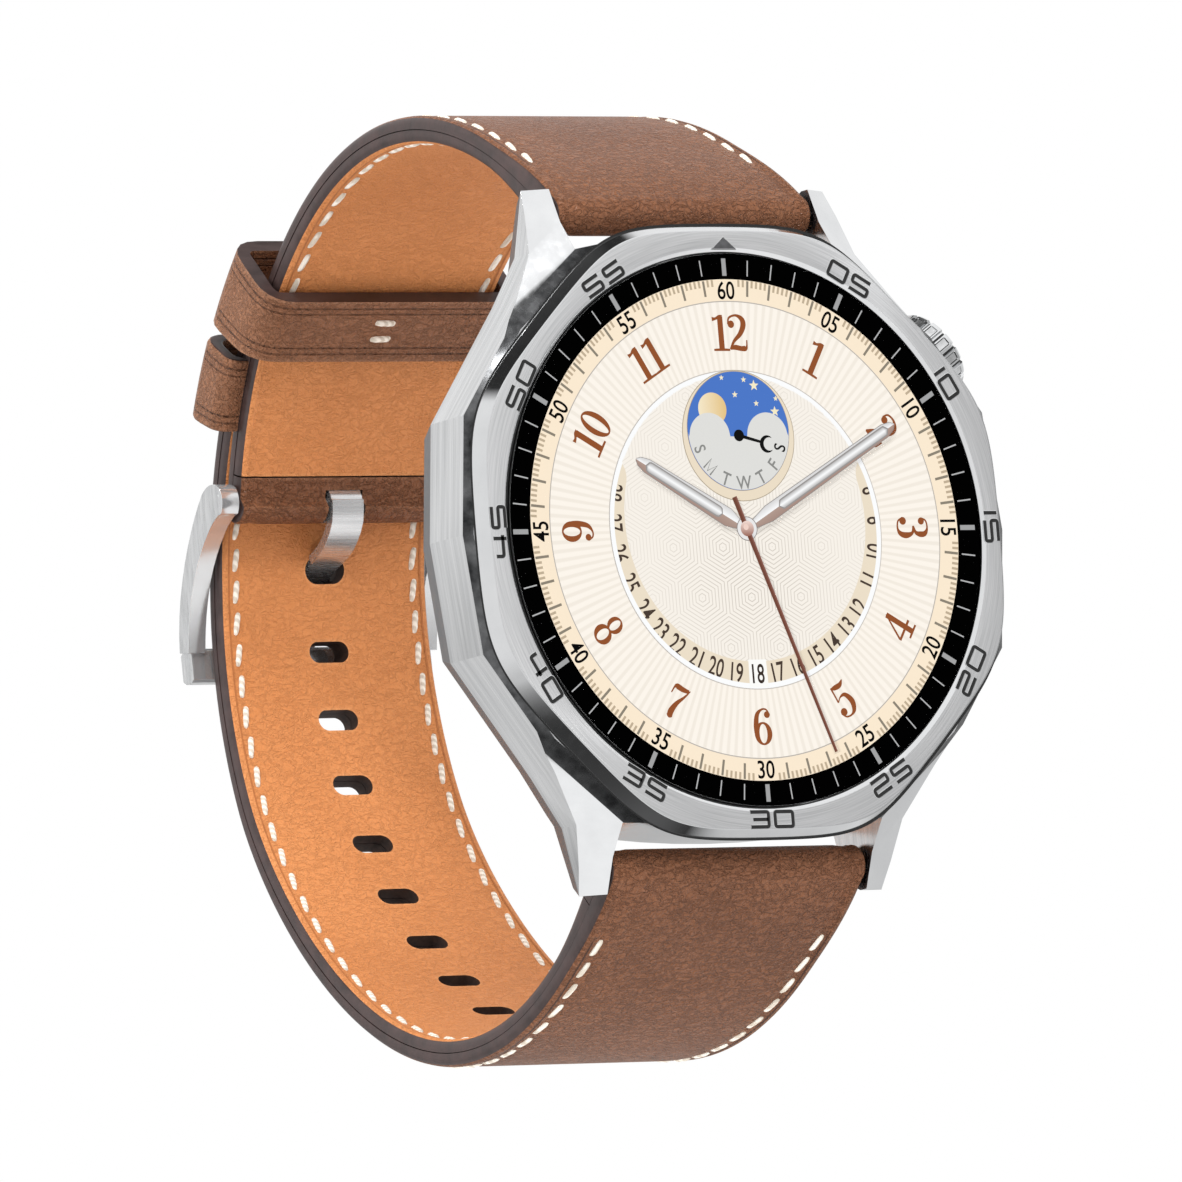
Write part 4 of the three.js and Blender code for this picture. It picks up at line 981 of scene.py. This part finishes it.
# ---------- camera, light, floor ----------
def make_stage():
    camera = bpy.data.cameras.new("camera")
    camera.lens = 550.65
    camera.sensor_width = 36.0
    camera.clip_start = 0.01
    camera.clip_end = 50.0
    seat = placed("camera", camera)
    # The view was solved from the photograph's circles and outline.
    right = Vector((0.8454, -0.5277, -0.0824)).normalized()
    up = Vector((0.0100, -0.1387, 0.9903))
    up = (up - right * up.dot(right)).normalized()
    back = right.cross(up)
    seat.matrix_world = Matrix((
        (right.x, up.x, back.x, -0.70118),
        (right.y, up.y, back.y, -1.09105),
        (right.z, up.z, back.z, -0.14850),
        (0, 0, 0, 1),
    ))
    bpy.context.scene.camera = seat

    ground = Mat("floor_pale", Roughness=0.7)
    tone = ground.noise(6, 3, 0.5)
    ground.set(Base_Color=ground.mix(ground.ramp(tone, 0.3, 0.7, 0, 0.2), rgba("F4F4F4"), rgba("EFEFEF")))
    mesh = bpy.data.meshes.new("floor")
    mesh.from_pydata([(-5, -5, -0.16), (5, -5, -0.16), (5, 5, -0.16), (-5, 5, -0.16)], [], [(0, 1, 2, 3)])
    mesh.materials.append(ground.data)
    floor = placed("floor", mesh)
    floor.visible_glossy = False

    def lamp(name, place, size, power, target=(0, 0.01, 0), mirrored=False):
        light = bpy.data.lights.new(name, "AREA")
        light.shape = "RECTANGLE"
        light.size, light.size_y = size
        light.energy = power
        holder = placed(name, light)
        holder.location = place
        holder.visible_glossy = mirrored
        aim = (Vector(target) - Vector(place)).to_track_quat("-Z", "Y")
        holder.rotation_euler = aim.to_euler()

    lamp("key", (-0.5, -0.9, 0.9), (0.5, 0.4), 8.5)
    lamp("fill", (0.9, -0.8, 0.25), (0.5, 0.7), 3.2)
    lamp("left", (-1.0, 0.15, 0.1), (0.35, 0.8), 2.6)
    lamp("sheen", (-0.35, -0.3, 0.9), (0.3, 0.12), 4.0, (0, 0.02, 0.02), True)
    lamp("inside", (-0.35, 0.55, 0.5), (0.4, 0.4), 2.7, (0, 0.03, 0))

    world = bpy.data.worlds.new("studio")
    bpy.context.scene.world = world
    world.use_nodes = True
    sky = Nodes(world.node_tree)
    out = sky.tree.nodes.new("ShaderNodeOutputWorld")

    def studio(value, stops):
        """Brightness along one direction, from -1 to 1."""
        made = sky.tree.nodes.new("ShaderNodeValToRGB")
        ramp = made.color_ramp
        ramp.elements[0].position, ramp.elements[1].position = 0.0, 1.0
        ramp.elements[0].color = (*[stops[0][1]] * 3, 1)
        ramp.elements[1].color = (*[stops[-1][1]] * 3, 1)
        for at, level in stops[1:-1]:
            ramp.elements.new((at + 1) / 2).color = (level, level, level, 1)
        sky.put(made.inputs[0], sky.ramp(value, -1.0, 1.0))
        return made.outputs[0]

    way = sky.parts(sky.node("TexCoord", out="Generated"))
    front = studio(way[0], [(-1, 1.0), (-0.2, 1.0), (0.2, 0.85), (0.534, 0.62), (0.8, 0.4), (1, 0.6)])
    back = studio(way[2], [(-1, 0.14), (-0.86, 0.04), (-0.74, 0.7), (-0.45, 0.85), (-0.2, 0.5), (0.03, 0.7),
                           (0.14, 1.0), (0.3, 0.85), (0.45, 1.0), (0.74, 1.0), (0.82, 0.03), (0.9, 0.03),
                           (1, 0.14)])
    tall = sky.ramp(sky.node("Math", [way[2]], operation="ABSOLUTE"), 0.2, 0.5)
    ahead = sky.mix(tall, front, (1.1, 1.1, 1.1, 1))
    around = sky.mix(sky.ramp(way[1], -0.28, -0.16), ahead, back)
    pattern = sky.mix(sky.ramp(way[0], -0.7, -0.88), around, (0.95, 0.95, 0.95, 1))
    soft = studio(way[2], [(-1, 0.3), (-0.3, 0.52), (0.2, 0.84), (1, 0.9)])
    # Reflections see the pattern, the camera sees white, and the rest gets a soft light from above.
    even = sky.mix(sky.node("LightPath", out="Is Glossy Ray"), soft, pattern)
    shown = sky.mix(sky.node("LightPath", out="Is Camera Ray"), even, (1, 1, 1, 1))
    sky.put(out.inputs[0], sky.node("Background", [shown, 1.0]))
    bpy.context.scene.view_settings.view_transform = "Standard"
    bpy.context.scene.view_settings.look = "None"


# ---------- strap ----------
# Places in (Y, Z): the middle of the strap's curve, the upper spring bar and the buckle's bar.
LOOP = (10.4, 0.25)
BAR = (-6.1, 23.7)
BUCKLE_BAR = (43.242, 9.791)
# Radius of each half's arc and the angle where it ends.
UPPER_RADIUS, UPPER_END = 34.5, 16.2
LOWER_RADIUS, LOWER_END = 36.75, 42.5
# Half widths of the strap.
AT_LUGS, AT_BUCKLE = 10.85, 9.0
CLEAR = 0.03
STITCH_PITCH = 2.42
STITCH_INSET = 1.3
CREASE_INSET = 0.68


class StrapLine:
    """Middle line of one strap half in (Y, Z): a curve from the spring bar, then an arc."""

    def __init__(self, side, heading, handles, radius, join, end):
        way = math.radians(heading)
        start = np.array([BAR[0], side * BAR[1]])
        turn = -1 if side > 0 else 1
        a = math.radians(join)
        stop = np.array([LOOP[0] + radius * math.cos(a), LOOP[1] + radius * math.sin(a)])
        tangent = turn * np.array([-math.sin(a), math.cos(a)])
        p1 = start + handles[0] * np.array([math.cos(way), math.sin(way)])
        p2 = stop - handles[1] * tangent
        t = np.linspace(0, 1, 400)[:, None]
        curve = (1 - t) ** 3 * start + 3 * (1 - t) ** 2 * t * p1 + 3 * (1 - t) * t * t * p2 + t ** 3 * stop
        angles = np.radians(np.linspace(join, end, 400))[1:]
        arc = np.stack([LOOP[0] + radius * np.cos(angles), LOOP[1] + radius * np.sin(angles)], 1)
        self.points = np.vstack([curve, arc])
        self.s = np.concatenate([[0], np.cumsum(np.linalg.norm(np.diff(self.points, axis=0), axis=1))])
        self.length = float(self.s[-1])
        self.side = side

    def point(self, s):
        return np.array([np.interp(s, self.s, self.points[:, k]) for k in (0, 1)])

    def at(self, s):
        """(point, forward, outward) at a distance along the strap."""
        t = self.point(s + 0.15) - self.point(s - 0.15)
        t = t / np.linalg.norm(t)
        return self.point(s), t, np.array([-t[1], t[0]]) * self.side

    def half_thickness(self, s):
        x = min(max((10 - s) / 9, 0), 1)
        return 1.025 + 0.475 * x * x * (3 - 2 * x)

    def half_width(self, s):
        if self.side > 0:
            return AT_LUGS + (AT_BUCKLE - AT_LUGS) * s / self.length
        width = AT_LUGS + (AT_BUCKLE - AT_LUGS) * min(s / 80, 1)
        near = (s - (self.length - 8)) / 8
        return width * math.sqrt(max(1 - (0.985 * near) ** 2, 0.04)) if near > 0 else width


UPPER = StrapLine(1, 42.1, (15.8, 15.9), UPPER_RADIUS, 50, UPPER_END)
LOWER = StrapLine(-1, -46.7, (32.6, 13.7), LOWER_RADIUS, -20, LOWER_END)


def cross_section(half, thick, inner, rows=34):
    """Points (x, height) from one bottom corner over the top to the other, and which steps are edge."""
    radius = min(0.55, (thick - inner) * 0.6)
    points = [(-half, inner), (-half, (inner + thick - radius) / 2)]
    for k in range(5):
        a = math.pi / 2 * k / 4
        points.append((-half + radius * (1 - math.cos(a)), thick - radius + radius * math.sin(a)))
    edge_count = len(points)
    for k in range(1, rows):
        x = -half + radius + (2 * half - 2 * radius) * (0.5 - 0.5 * math.cos(math.pi * k / rows))
        d = half - abs(x)
        dip = 0.11 * math.exp(-((d - 1.3) / 0.34) ** 2) + 0.06 * math.exp(-((d - 0.66) / 0.12) ** 2)
        points.append((x, thick - dip))
    mirror = [(-x, h) for x, h in reversed(points[:edge_count])]
    count = len(points) + len(mirror)
    edges = [i < 4 or i > count - 6 for i in range(count - 1)]
    return points + mirror, edges


def strip(name, stations, materials, slot):
    """Sweeps the section through (point, outward, half width, thickness, inner) stations."""
    verts = []
    for point, out, half, thick, inner in stations:
        section, edges = cross_section(half, thick, inner)
        verts += [(x, point[0] + out[0] * h, point[1] + out[1] * h) for x, h in section]
    count, width = len(stations), len(section)
    faces = tube_faces(count, width) + [tuple(range(width)), tuple(range((count - 1) * width, count * width))]
    slots = [int(edge) for edge in edges + [True]] * (count - 1) + [1, 1]
    return add_object(name, verts, faces, materials, slot=slot, sharp=50, indices=slots)


def wrap_about(centre, forward, out, half, thick, steps=14):
    """Stations half round a bar, from one side of the strap to the other."""
    made = []
    for k in range(steps + 1):
        a = math.radians(180 * k / steps)
        made.append((np.array(centre), out * math.cos(a) + forward * math.sin(a), half, thick, 0.76))
    return made


def steps_between(a, b, size):
    return np.linspace(a, b, max(2, int(abs(b - a) / size)))


def stations_along(line, start, stop, size, way, trim=0.0, thin=0.0, thick=None):
    """Stations between two distances, on the outer side (way 1) or the inner side (way -1)."""
    made = []
    for s in steps_between(start, stop, size):
        p, _, n = line.at(s)
        made.append((p, way * n, line.half_width(s) - trim, thick or line.half_thickness(s) - thin, CLEAR))
    return made


def strap_outer(line, name, node, materials):
    """The brown layer, rolled round its spring bar and, above, folded round the buckle's bar."""
    stations = stations_along(line, 3.1, 0.4, 0.5, -1, trim=0.02)
    p, t, n = line.at(0.0)
    stations += wrap_about(p, -t, -n, line.half_width(0), 1.5)
    end = line.length - (0.5 if line.side > 0 else 0.02)
    stations += stations_along(line, 0.4, end, 0.6, 1)
    if line.side > 0:
        _, t, n = line.at(line.length)
        stations += wrap_about(BUCKLE_BAR, t, n, AT_BUCKLE, 1.42)
        stations += stations_along(line, line.length - 0.6, line.length - 2.2, 0.4, -1, thick=1.1)
    piece = strip(name, stations, materials, "brown_leather")
    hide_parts(node)
    return piece


def strap_lining(line, name, node, materials):
    stop = line.length - (2.3 if line.side > 0 else 0.02)
    stations = stations_along(line, 3.2, stop, 0.6, -1, trim=0.04, thin=0.02)
    piece = strip(name, stations, materials, "tan_lining")
    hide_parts(node)
    return piece


def pill_cutter(line, s, width, height):
    """A rounded slot through the strap at a distance along it."""
    p, t, n = line.at(s)
    verts = []
    ring = []
    for k in range(32):
        a = 2 * math.pi * k / 32
        x = math.cos(a) * height / 2 + math.copysign((width - height) / 2, math.cos(a))
        ring.append((x, math.sin(a) * height / 2))
    for depth in (-4, 4):
        for x, y in ring:
            verts.append((x, p[0] + t[0] * y + n[0] * depth, p[1] + t[1] * y + n[1] * depth))
    return verts, tube_faces(2, 32) + [tuple(range(32)), tuple(range(32, 64))]


def box_cutter(x0, x1, y0, y1, z0, z1):
    verts = [(x, y, z) for x in (x0, x1) for y in (y0, y1) for z in (z0, z1)]
    faces = [(0, 1, 3, 2), (4, 6, 7, 5), (0, 4, 5, 1), (2, 3, 7, 6), (0, 2, 6, 4), (1, 5, 7, 3)]
    return verts, faces


def cut(piece, cutters, wall):
    """Takes shapes out of a piece, lining the cut with another material."""
    verts, faces = [], []
    for vs, fs in cutters:
        base = len(verts)
        verts += [tuple(c * MM for c in v) for v in vs]
        faces += [tuple(base + i for i in f) for f in fs]
    mesh = bpy.data.meshes.new("cutter")
    mesh.from_pydata(verts, [], faces)
    mesh.materials.append(wall)
    tool = placed("cutter", mesh)
    reshape(mesh, face_outward)
    mod = piece.modifiers.new("cut", "BOOLEAN")
    mod.operation = "DIFFERENCE"
    mod.solver = "EXACT"
    mod.material_mode = "TRANSFER"
    mod.object = tool
    apply_modifiers(piece)
    bpy.data.objects.remove(tool)
    piece.data.shade_smooth()
    piece.data.set_sharp_from_angle(angle=math.radians(50))


def stitch_rows(name, rows, material, body="watch", slant=0.15):
    """Rows of short twisted threads: (origin, along, out, half length, half width) each, in mm."""
    verts, faces = [], []
    rings, sides = 11, 8
    for origin, along, out in rows:
        side = np.cross(along, out)
        base = len(verts)
        lean = slant + random.uniform(-0.04, 0.04)
        for i in range(rings):
            u = -1 + 2 * i / (rings - 1)
            round_end = math.sqrt(max(1 - abs(u) ** 5, 0.02))
            twist = 1 + 0.07 * math.sin(u * 15)
            rise = 0.13 * (1 - u ** 4) - 0.17
            middle = np.array(origin) + np.array(along) * u * 0.98 + np.array(out) * rise
            middle = middle + side * lean * u
            for k in range(sides):
                a = 2 * math.pi * k / sides
                across = side * math.cos(a) * 0.27 * round_end * twist
                verts.append(tuple(middle + across + np.array(out) * math.sin(a) * 0.24 * round_end * twist))
        faces += tube_faces(rings, sides, base)
        faces.append(tuple(range(base, base + sides)))
        faces.append(tuple(range(base + (rings - 1) * sides, base + rings * sides)))
    return add_object(name, verts, faces, material, body, "tan_lining", sharp=70)


def strap_stitches(line, start, stop, inside):
    made = []
    for s in np.arange(start, stop, STITCH_PITCH):
        p, t, n = line.at(s)
        if inside:
            n = -n
        lift = line.half_thickness(s) - 0.1
        for way in (-1, 1):
            x = way * (line.half_width(s) - STITCH_INSET)
            ahead = way * (line.half_width(s + 1) - line.half_width(s - 1)) / 2
            along = np.array([ahead, t[0], t[1]])
            along = along / np.linalg.norm(along)
            out = np.array([0, n[0], n[1]])
            made.append((np.array([x, p[0] + n[0] * lift, p[1] + n[1] * lift]), along, out))
    return made


def pressed_lines(line, start, stop, inside, verts, faces):
    """A thin crease pressed along each edge of a strap, outside its stitches."""
    for way in (-1, 1):
        base = len(verts)
        places = steps_between(start, stop, 0.7)
        for s in places:
            p, _, n = line.at(s)
            lift = line.half_thickness(s) - 0.035
            out = -n if inside else n
            fade = min(1.0, (s - start) / 1.5 + 0.1, (stop - s) / 1.5 + 0.1)
            for off in (-0.07 * fade, 0.07 * fade):
                x = way * (line.half_width(s) - CREASE_INSET + off)
                verts.append((x, p[0] + out[0] * lift, p[1] + out[1] * lift))
        for i in range(len(places) - 1):
            faces.append((base + 2 * i, base + 2 * i + 1, base + 2 * i + 3, base + 2 * i + 2))


# Angles about the strap's curve of the buckled hole and of the inside stitches' last one.
FIRST_HOLE_AT = 8.2
INSIDE_END_AT = 44
HOLE_PITCH = 5.35


def make_straps():
    brown = leather("brown_leather_grain", "613C29", "89593C", "B08262", 2100, 0.0001, 0.34).data
    tan = leather("tan_lining_grain", "BE7845", "D68E57", "E6A772", 2500, 0.00004, 0.46).data
    edge = painted_edge("strap_edge_paint")
    dark = moulded("cut_wall_dark", "2A1B14", "3F2A20", 0.7, 2200)
    white = thread("waxed_thread")
    upper = strap_outer(UPPER, "upper_strap_leather", "upper_strap_outer", [brown, edge])
    lower = strap_outer(LOWER, "lower_strap_leather", "lower_strap_outer", [brown, edge])
    strap_lining(UPPER, "upper_strap_inside", "upper_strap_lining", [tan, edge])
    inside = strap_lining(LOWER, "lower_strap_inside", "lower_strap_lining", [tan, edge])
    first = LOWER.length - math.radians(LOWER_END - FIRST_HOLE_AT) * LOWER_RADIUS
    holes = [pill_cutter(LOWER, first - 0.15, 3.4, 2.1)]
    holes += [pill_cutter(LOWER, first - 1.1 - k * HOLE_PITCH, 3.4, 1.6) for k in range(1, 9)]
    cut(lower, holes, dark)
    cut(inside, holes, dark)
    y, z = BUCKLE_BAR
    cut(upper, [box_cutter(-1.6, 1.6, y - 3, y + 3, z - 3.2, z + 0.9)], dark)
    lining_end = UPPER.length - math.radians(INSIDE_END_AT - UPPER_END) * UPPER_RADIUS
    rows = strap_stitches(UPPER, 6.4, UPPER.length - 4, False)
    rows += strap_stitches(LOWER, 6.2, LOWER.length - 8.5, False)
    stitch_rows("outside_stitches", rows, white)
    verts, faces = [], []
    pressed_lines(UPPER, 5.0, UPPER.length - 3, False, verts, faces)
    pressed_lines(LOWER, 5.0, LOWER.length - 8.5, False, verts, faces)
    add_object("outside_creases", verts, faces, moulded("crease_brown", "3B2117", "4A2B1D", 0.5, 3000),
               slot="brown_leather", smooth=False)
    verts, faces = [], []
    pressed_lines(UPPER, 10.0, lining_end, True, verts, faces)
    pressed_lines(LOWER, 8.5, LOWER.length - 8.5, True, verts, faces)
    add_object("inside_creases", verts, faces, moulded("crease_tan", "A5622F", "B06C38", 0.5, 3000),
               slot="tan_lining", smooth=False)
    rows = strap_stitches(UPPER, 11.0, lining_end, True)
    rows += strap_stitches(LOWER, 9.5, LOWER.length - 8.5, True)
    stitch_rows("inside_stitches", rows, white)


def keeper_leather(name, degrees):
    """Brown leather with two creases pressed along each edge of the loop."""
    m = leather(name, "6D4833", "95664A", "B58A6C", 2300, 0.00008, 0.38)
    parts = m.parts(m.vector("SUBTRACT", m.position(), (0, LOOP[0] * MM, LOOP[1] * MM)))
    angle = m.math("ARCTAN2", parts[2], parts[1])
    away = m.math("MULTIPLY", m.math("ABSOLUTE", m.math("SUBTRACT", angle, math.radians(degrees))), 38.0)
    first = m.ramp(m.math("ABSOLUTE", m.math("SUBTRACT", away, 2.35)), 0.0, 0.13, 1.0, 0.0)
    second = m.ramp(m.math("ABSOLUTE", m.math("SUBTRACT", away, 1.75)), 0.0, 0.10, 1.0, 0.0)
    crease = m.math("MAXIMUM", first, second)
    colour = m.bsdf.inputs["Base Color"].links[0].from_socket
    normal = m.bsdf.inputs["Normal"].links[0].from_socket
    return m.set(Base_Color=m.mix(m.math("MULTIPLY", crease, 0.55), colour, rgba("3A2118")),
                 Normal=m.bump(m.math("SUBTRACT", 1.0, crease), 0.00012, 0.9, normal))


# Angles of the two leather loops about the strap's curve, and the place of the sliding loop's threads.
SLIDING_LOOP_AT = 41.5
FIXED_LOOP_AT = 29.9
LOOP_THREAD_X = -0.35
LOOP_THREAD_RADIUS = 31.95


def make_keepers():
    edge = painted_edge("keeper_edge_paint")
    for name, node, degrees, body in (("sliding_loop", "free_keeper", SLIDING_LOOP_AT, "sliding_keeper"),
                                      ("fixed_loop", "fixed_keeper", FIXED_LOOP_AT, "watch")):
        face = keeper_leather(name + "_leather", degrees)
        piece = from_node(name, node, [face, edge], body, width=0.3, segments=3, angle=35,
                          sharp=60)
        a = math.radians(degrees)
        along = Vector((0, -math.sin(a), math.cos(a)))
        for polygon in piece.data.polygons:
            if abs(polygon.normal.dot(along)) > 0.8:
                polygon.material_index = 1
    a = math.radians(SLIDING_LOOP_AT)
    out = np.array([0, -math.cos(a), -math.sin(a)])
    # Two short threads side by side close the sliding loop on its inner band.
    rows = []
    for way in (-1, 1):
        b = a + way * math.radians(1.25)
        place = np.array([LOOP_THREAD_X, LOOP[0] + LOOP_THREAD_RADIUS * math.cos(b),
                          LOOP[1] + LOOP_THREAD_RADIUS * math.sin(b)])
        rows.append((place, np.array([1.0, 0.0, 0.0]), out))
    stitch_rows("sliding_loop_threads", rows, thread("loop_thread"), "sliding_keeper", 0.0)


# ---------- buckle, case and controls ----------
def make_buckle():
    side = steel("buckle_brushed", (0.06, 1.0, 0.12), "DADBDC", 0.27)
    polish = mirror_steel("buckle_polish", "D8D9DA", 0.16, 0.75)
    arms = from_node("buckle_arms", "buckle_frame", [polish, side], "buckle", 0.16, 3,
                     30, 42)
    for polygon in arms.data.polygons:
        if abs(polygon.normal.x) > 0.9:
            polygon.material_index = 1
    # Plugs flush with the arms hide the ends of the rod.
    low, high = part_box("buckle_frame")
    for label, x in (("left", low[0]), ("right", high[0])):
        way = math.copysign(1, x)
        rim = [(x / MM + way * 0.012, BUCKLE_BAR[0] + 1.12 * math.cos(t),
                BUCKLE_BAR[1] + 1.12 * math.sin(t)) for t in turns(40)]
        inside = [(x / MM - way * 0.1, py, pz) for _, py, pz in rim]
        faces = [tuple(range(40)), tuple(range(40, 80))] + tube_faces(2, 40)
        add_object(f"rod_plug_{label}", rim + inside, faces, side, "buckle", "polished_steel")
    from_node("buckle_rod", "buckle_bar", polish, "buckle", 0.08)
    tongue = steel("tongue_brushed", (0.03, 1.0, 1.0), "D8D8D9", 0.26, 0.85)
    from_node("buckle_pin", "buckle_tongue", tongue, "tongue", 0.14, 3, 35, 42)


def make_case():
    flank = steel("case_brushed", None, "DCDDDE", 0.24)
    polish = mirror_steel("case_polish", "E4E5E6", 0.09)
    satin = turned_steel("case_satin", 0.32)
    # A near-black copy of the polished steel, used as painted dark reflection lines on the ledge.
    line = mirror_steel("case_edge_painted_dark_reflection", "1A1B1C", 0.25)
    back = moulded("case_back_blasted", "77797B", "85878A", 0.5, 9000, 1.0, 0.000008)
    piece = from_node("case_body", "mid_case", [flank, polish, satin, line, back], "watch",
                      0.14, 2, 24, 34)
    # Faces are told apart by how far they turn to the dial side (-Y), the wrist (+Y) or a flank (X).
    for polygon in piece.data.polygons:
        n, c = polygon.normal, polygon.center
        if n.y < -0.93:
            polygon.material_index = 2
        # Ledge facets near the bezel take the near-black steel: painted dark reflection lines.
        elif n.y < -0.1 and -11.1 * MM < c.y < -10.35 * MM and not -0.45 < n.y < -0.3:
            polygon.material_index = 3
        elif n.y < -0.3:
            polygon.material_index = 1
        elif n.y > 0.25:
            polygon.material_index = 4
        elif abs(n.x) < 0.25:
            polygon.material_index = 1


CROWN_AT = 33.5
CROWN_Y = -6.8
CROWN_RADIUS = 3.27
PADS = 16


def crown_wheel(materials):
    """Sixteen flat pads round a wheel, each set in a polished frame, with a low domed end."""
    angle = math.radians(CROWN_AT)
    axis = np.array([math.cos(angle), 0, math.sin(angle)])
    up = np.array([0, 1.0, 0])
    side = np.cross(axis, up)
    # One pad in (share of the way round, radius): groove, frame, sunk face, frame, groove.
    shape = [(0.0, 3.04), (0.10, 3.04), (0.16, CROWN_RADIUS), (0.24, CROWN_RADIUS), (0.29, 3.22), (0.5, 3.19),
             (0.71, 3.22), (0.76, CROWN_RADIUS), (0.84, CROWN_RADIUS), (0.90, 3.04)]
    # Rows in (distance along the axis, change of radius, whether the pads are sunk there).
    along = [(22.72, -0.34, 0), (22.8, -0.14, 0), (22.95, 0.0, 0), (23.14, 0.0, 0), (23.2, 0.0, 1),
             (24.28, 0.0, 1), (24.34, 0.0, 0), (24.52, 0.0, 0), (24.7, -0.12, 0), (24.8, -0.4, 0)]
    end = [(24.86, 2.62), (24.98, 2.5), (25.06, 1.7), (25.12, 0.9)]
    verts, slots = [], []
    count = PADS * len(shape)

    def add_point(distance, r, share):
        a = 2 * math.pi * share / PADS
        p = axis * distance + side * r * math.cos(a) + up * r * math.sin(a)
        verts.append((p[0], p[1] + CROWN_Y, p[2]))

    for distance, inset, sunk in along:
        for k in range(PADS):
            for at, radius in shape:
                r = CROWN_RADIUS if not sunk and 0.2 < at < 0.8 else radius
                add_point(distance, r + inset, k + at)
    for distance, r in end:
        for k in range(count):
            add_point(distance, r, k // len(shape) + shape[k % len(shape)][0])
    for i in range(len(along) - 1):
        pad_row = along[i][2] and along[i + 1][2]
        for k in range(count):
            part = k % len(shape)
            # Groove floors and the walls of the sunk pads get the near-black finish: painted shade in the
            # recesses.
            groove = part == 9 or (pad_row and part in (3, 6))
            slots.append(2 if groove else 1 if pad_row and part in (4, 5) else 0)
    slots += [0] * (len(end) * count + 2)
    faces = tube_faces(len(along) + len(end), count)
    faces += [tuple(range(len(verts) - count, len(verts))), tuple(range(count))]
    return add_object("crown_wheel", verts, faces, materials, "crown", "polished_steel", sharp=22,
                      indices=slots)


def make_controls():
    polish = mirror_steel("crown_polish", "E2E3E4", 0.10)
    pads = steel("crown_brushed", (0.4, 1.0, 0.4), "DCDDDE", 0.24)
    # The third finish, near black, paints shade into the crown's grooves.
    knob = crown_wheel([polish, pads, moulded("crown_groove_painted_shade", "0A0A0B", "151516", 0.4, 2500)])
    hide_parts("crown_knob")
    button = steel("button_brushed", (0.3, 0.3, 1.0), "D5D6D7", 0.25)
    from_node("side_button_cap", "button_cap", button, "side_button", 0.22, 3, 30, 45)
    for label in ("upper", "lower"):
        for part, body in (("tube", "watch"), ("pin", f"{label}_bar_latch")):
            from_node(f"{label}_spring_bar_{part}", f"{label}_bar_{part}",
                      steel(f"{label}_{part}_steel", (0.1, 1, 1), "C8C9CA", 0.3), body, 0.05)


def make_back():
    shell = moulded("back_shell_black", "101113", "1A1B1E", 0.32, 2600)
    glass = moulded("sensor_glass", "06070A", "0B0D12", 0.06, 900, 0.0, 0.000002)
    ring_steel = mirror_steel("back_ring_steel", "C9CACC", 0.12)
    profile = [(9.9, -3), (9.9, -2.5), (11.2, -2.5), (11.2, -1.72), (11.3, -1.62), (12.4, -1.5), (17.4, -1.5),
               (17.8, -1.53), (20.05, -2.15), (20.2, -2.3), (20.2, -3.4), (17.2, -3.4), (17.2, -3), (9.9, -3)]
    cover = lathe("back_shell", profile, [shell, ring_steel], 180, "composite", [0] * 3 + [1] * 2 + [0] * 8)
    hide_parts("back_cover")
    dome = [(0, -1.9), (9.7, -1.9), (9.7, -2.4), (11.05, -2.4), (11.05, -1.55), (10.98, -1.42), (10.4, -0.75),
            (9.3, -0.3), (7.9, -0.06), (6.8, 0.0), (0, 0.0)]
    window = lathe("sensor_dome", dome, glass, 180, "composite", sharp=25)
    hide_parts("sensor_window")
    # Optical windows and their bright rims, a hair above the dome.
    lens = moulded("optic_red_black", "1C0508", "2A090C", 0.08, 1500)
    verts, faces, slots = [], [], []
    for radius, count, size in ((0.0, 1, 1.5), (4.4, 8, 0.95)):
        for k in range(count):
            x0, z0 = clock(radius, 360 * k / count)
            base = len(verts)
            verts += [(x0 + size * math.cos(t), 0.0015, z0 + size * math.sin(t)) for t in turns(32)]
            faces.append(tuple(range(base, base + 32)))
            slots.append(0)
            base = len(verts)
            for t in turns(32):
                for r in (size, size + 0.14):
                    verts.append((x0 + r * math.cos(t), 0.0015, z0 + r * math.sin(t)))
            for i in range(32):
                j = (i + 1) % 32
                faces.append((base + 2 * i, base + 2 * j, base + 2 * j + 1, base + 2 * i + 1))
                slots.append(1)
    add_object("sensor_optics", verts, faces, [lens, ring_steel], slot="composite", smooth=False,
               indices=slots)


def make_inside():
    """Better finishes for the CAD pieces that stay."""
    looks = {
        "brushed_steel": steel("plain_brushed", (1, 1, 0.1)),
        "polished_steel": mirror_steel("plain_polish"),
        "rubber": moulded("gasket_rubber", "121212", "1C1C1C", 0.75, 2000, 0.0, 0.00004),
        "composite": moulded("frame_composite", "24262A", "303238", 0.45, 2400),
        "board": moulded("board_green", "123D28", "1B5538", 0.4, 1500),
        "shield": steel("shield_tin", (1, 1, 1), "C5C7C9", 0.35),
        "battery_foil": moulded("battery_wrap", "3A3C40", "50535A", 0.35, 800, 0.4, 0.00003),
        "copper": steel("coil_copper", (1, 0.2, 1), "D08A52", 0.3),
        "flex": moulded("flex_amber", "8A5418", "B0762C", 0.4, 1500),
        "display": moulded("panel_black", "08080A", "101014", 0.2, 1500),
        "sapphire": moulded("spare_glass", "DDE8EC", "E6F0F4", 0.05, 800),
    }
    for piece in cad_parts.values():
        for index, slot in enumerate(piece.material_slots):
            key = (slot.material.name if slot.material else "").split(".")[0]
            if key in looks:
                piece.data.materials[index] = looks[key]


make_stage()
make_dial()
make_hands()
make_bezel()
make_glass()
make_straps()
make_keepers()
make_buckle()
make_case()
make_controls()
make_back()
make_inside()
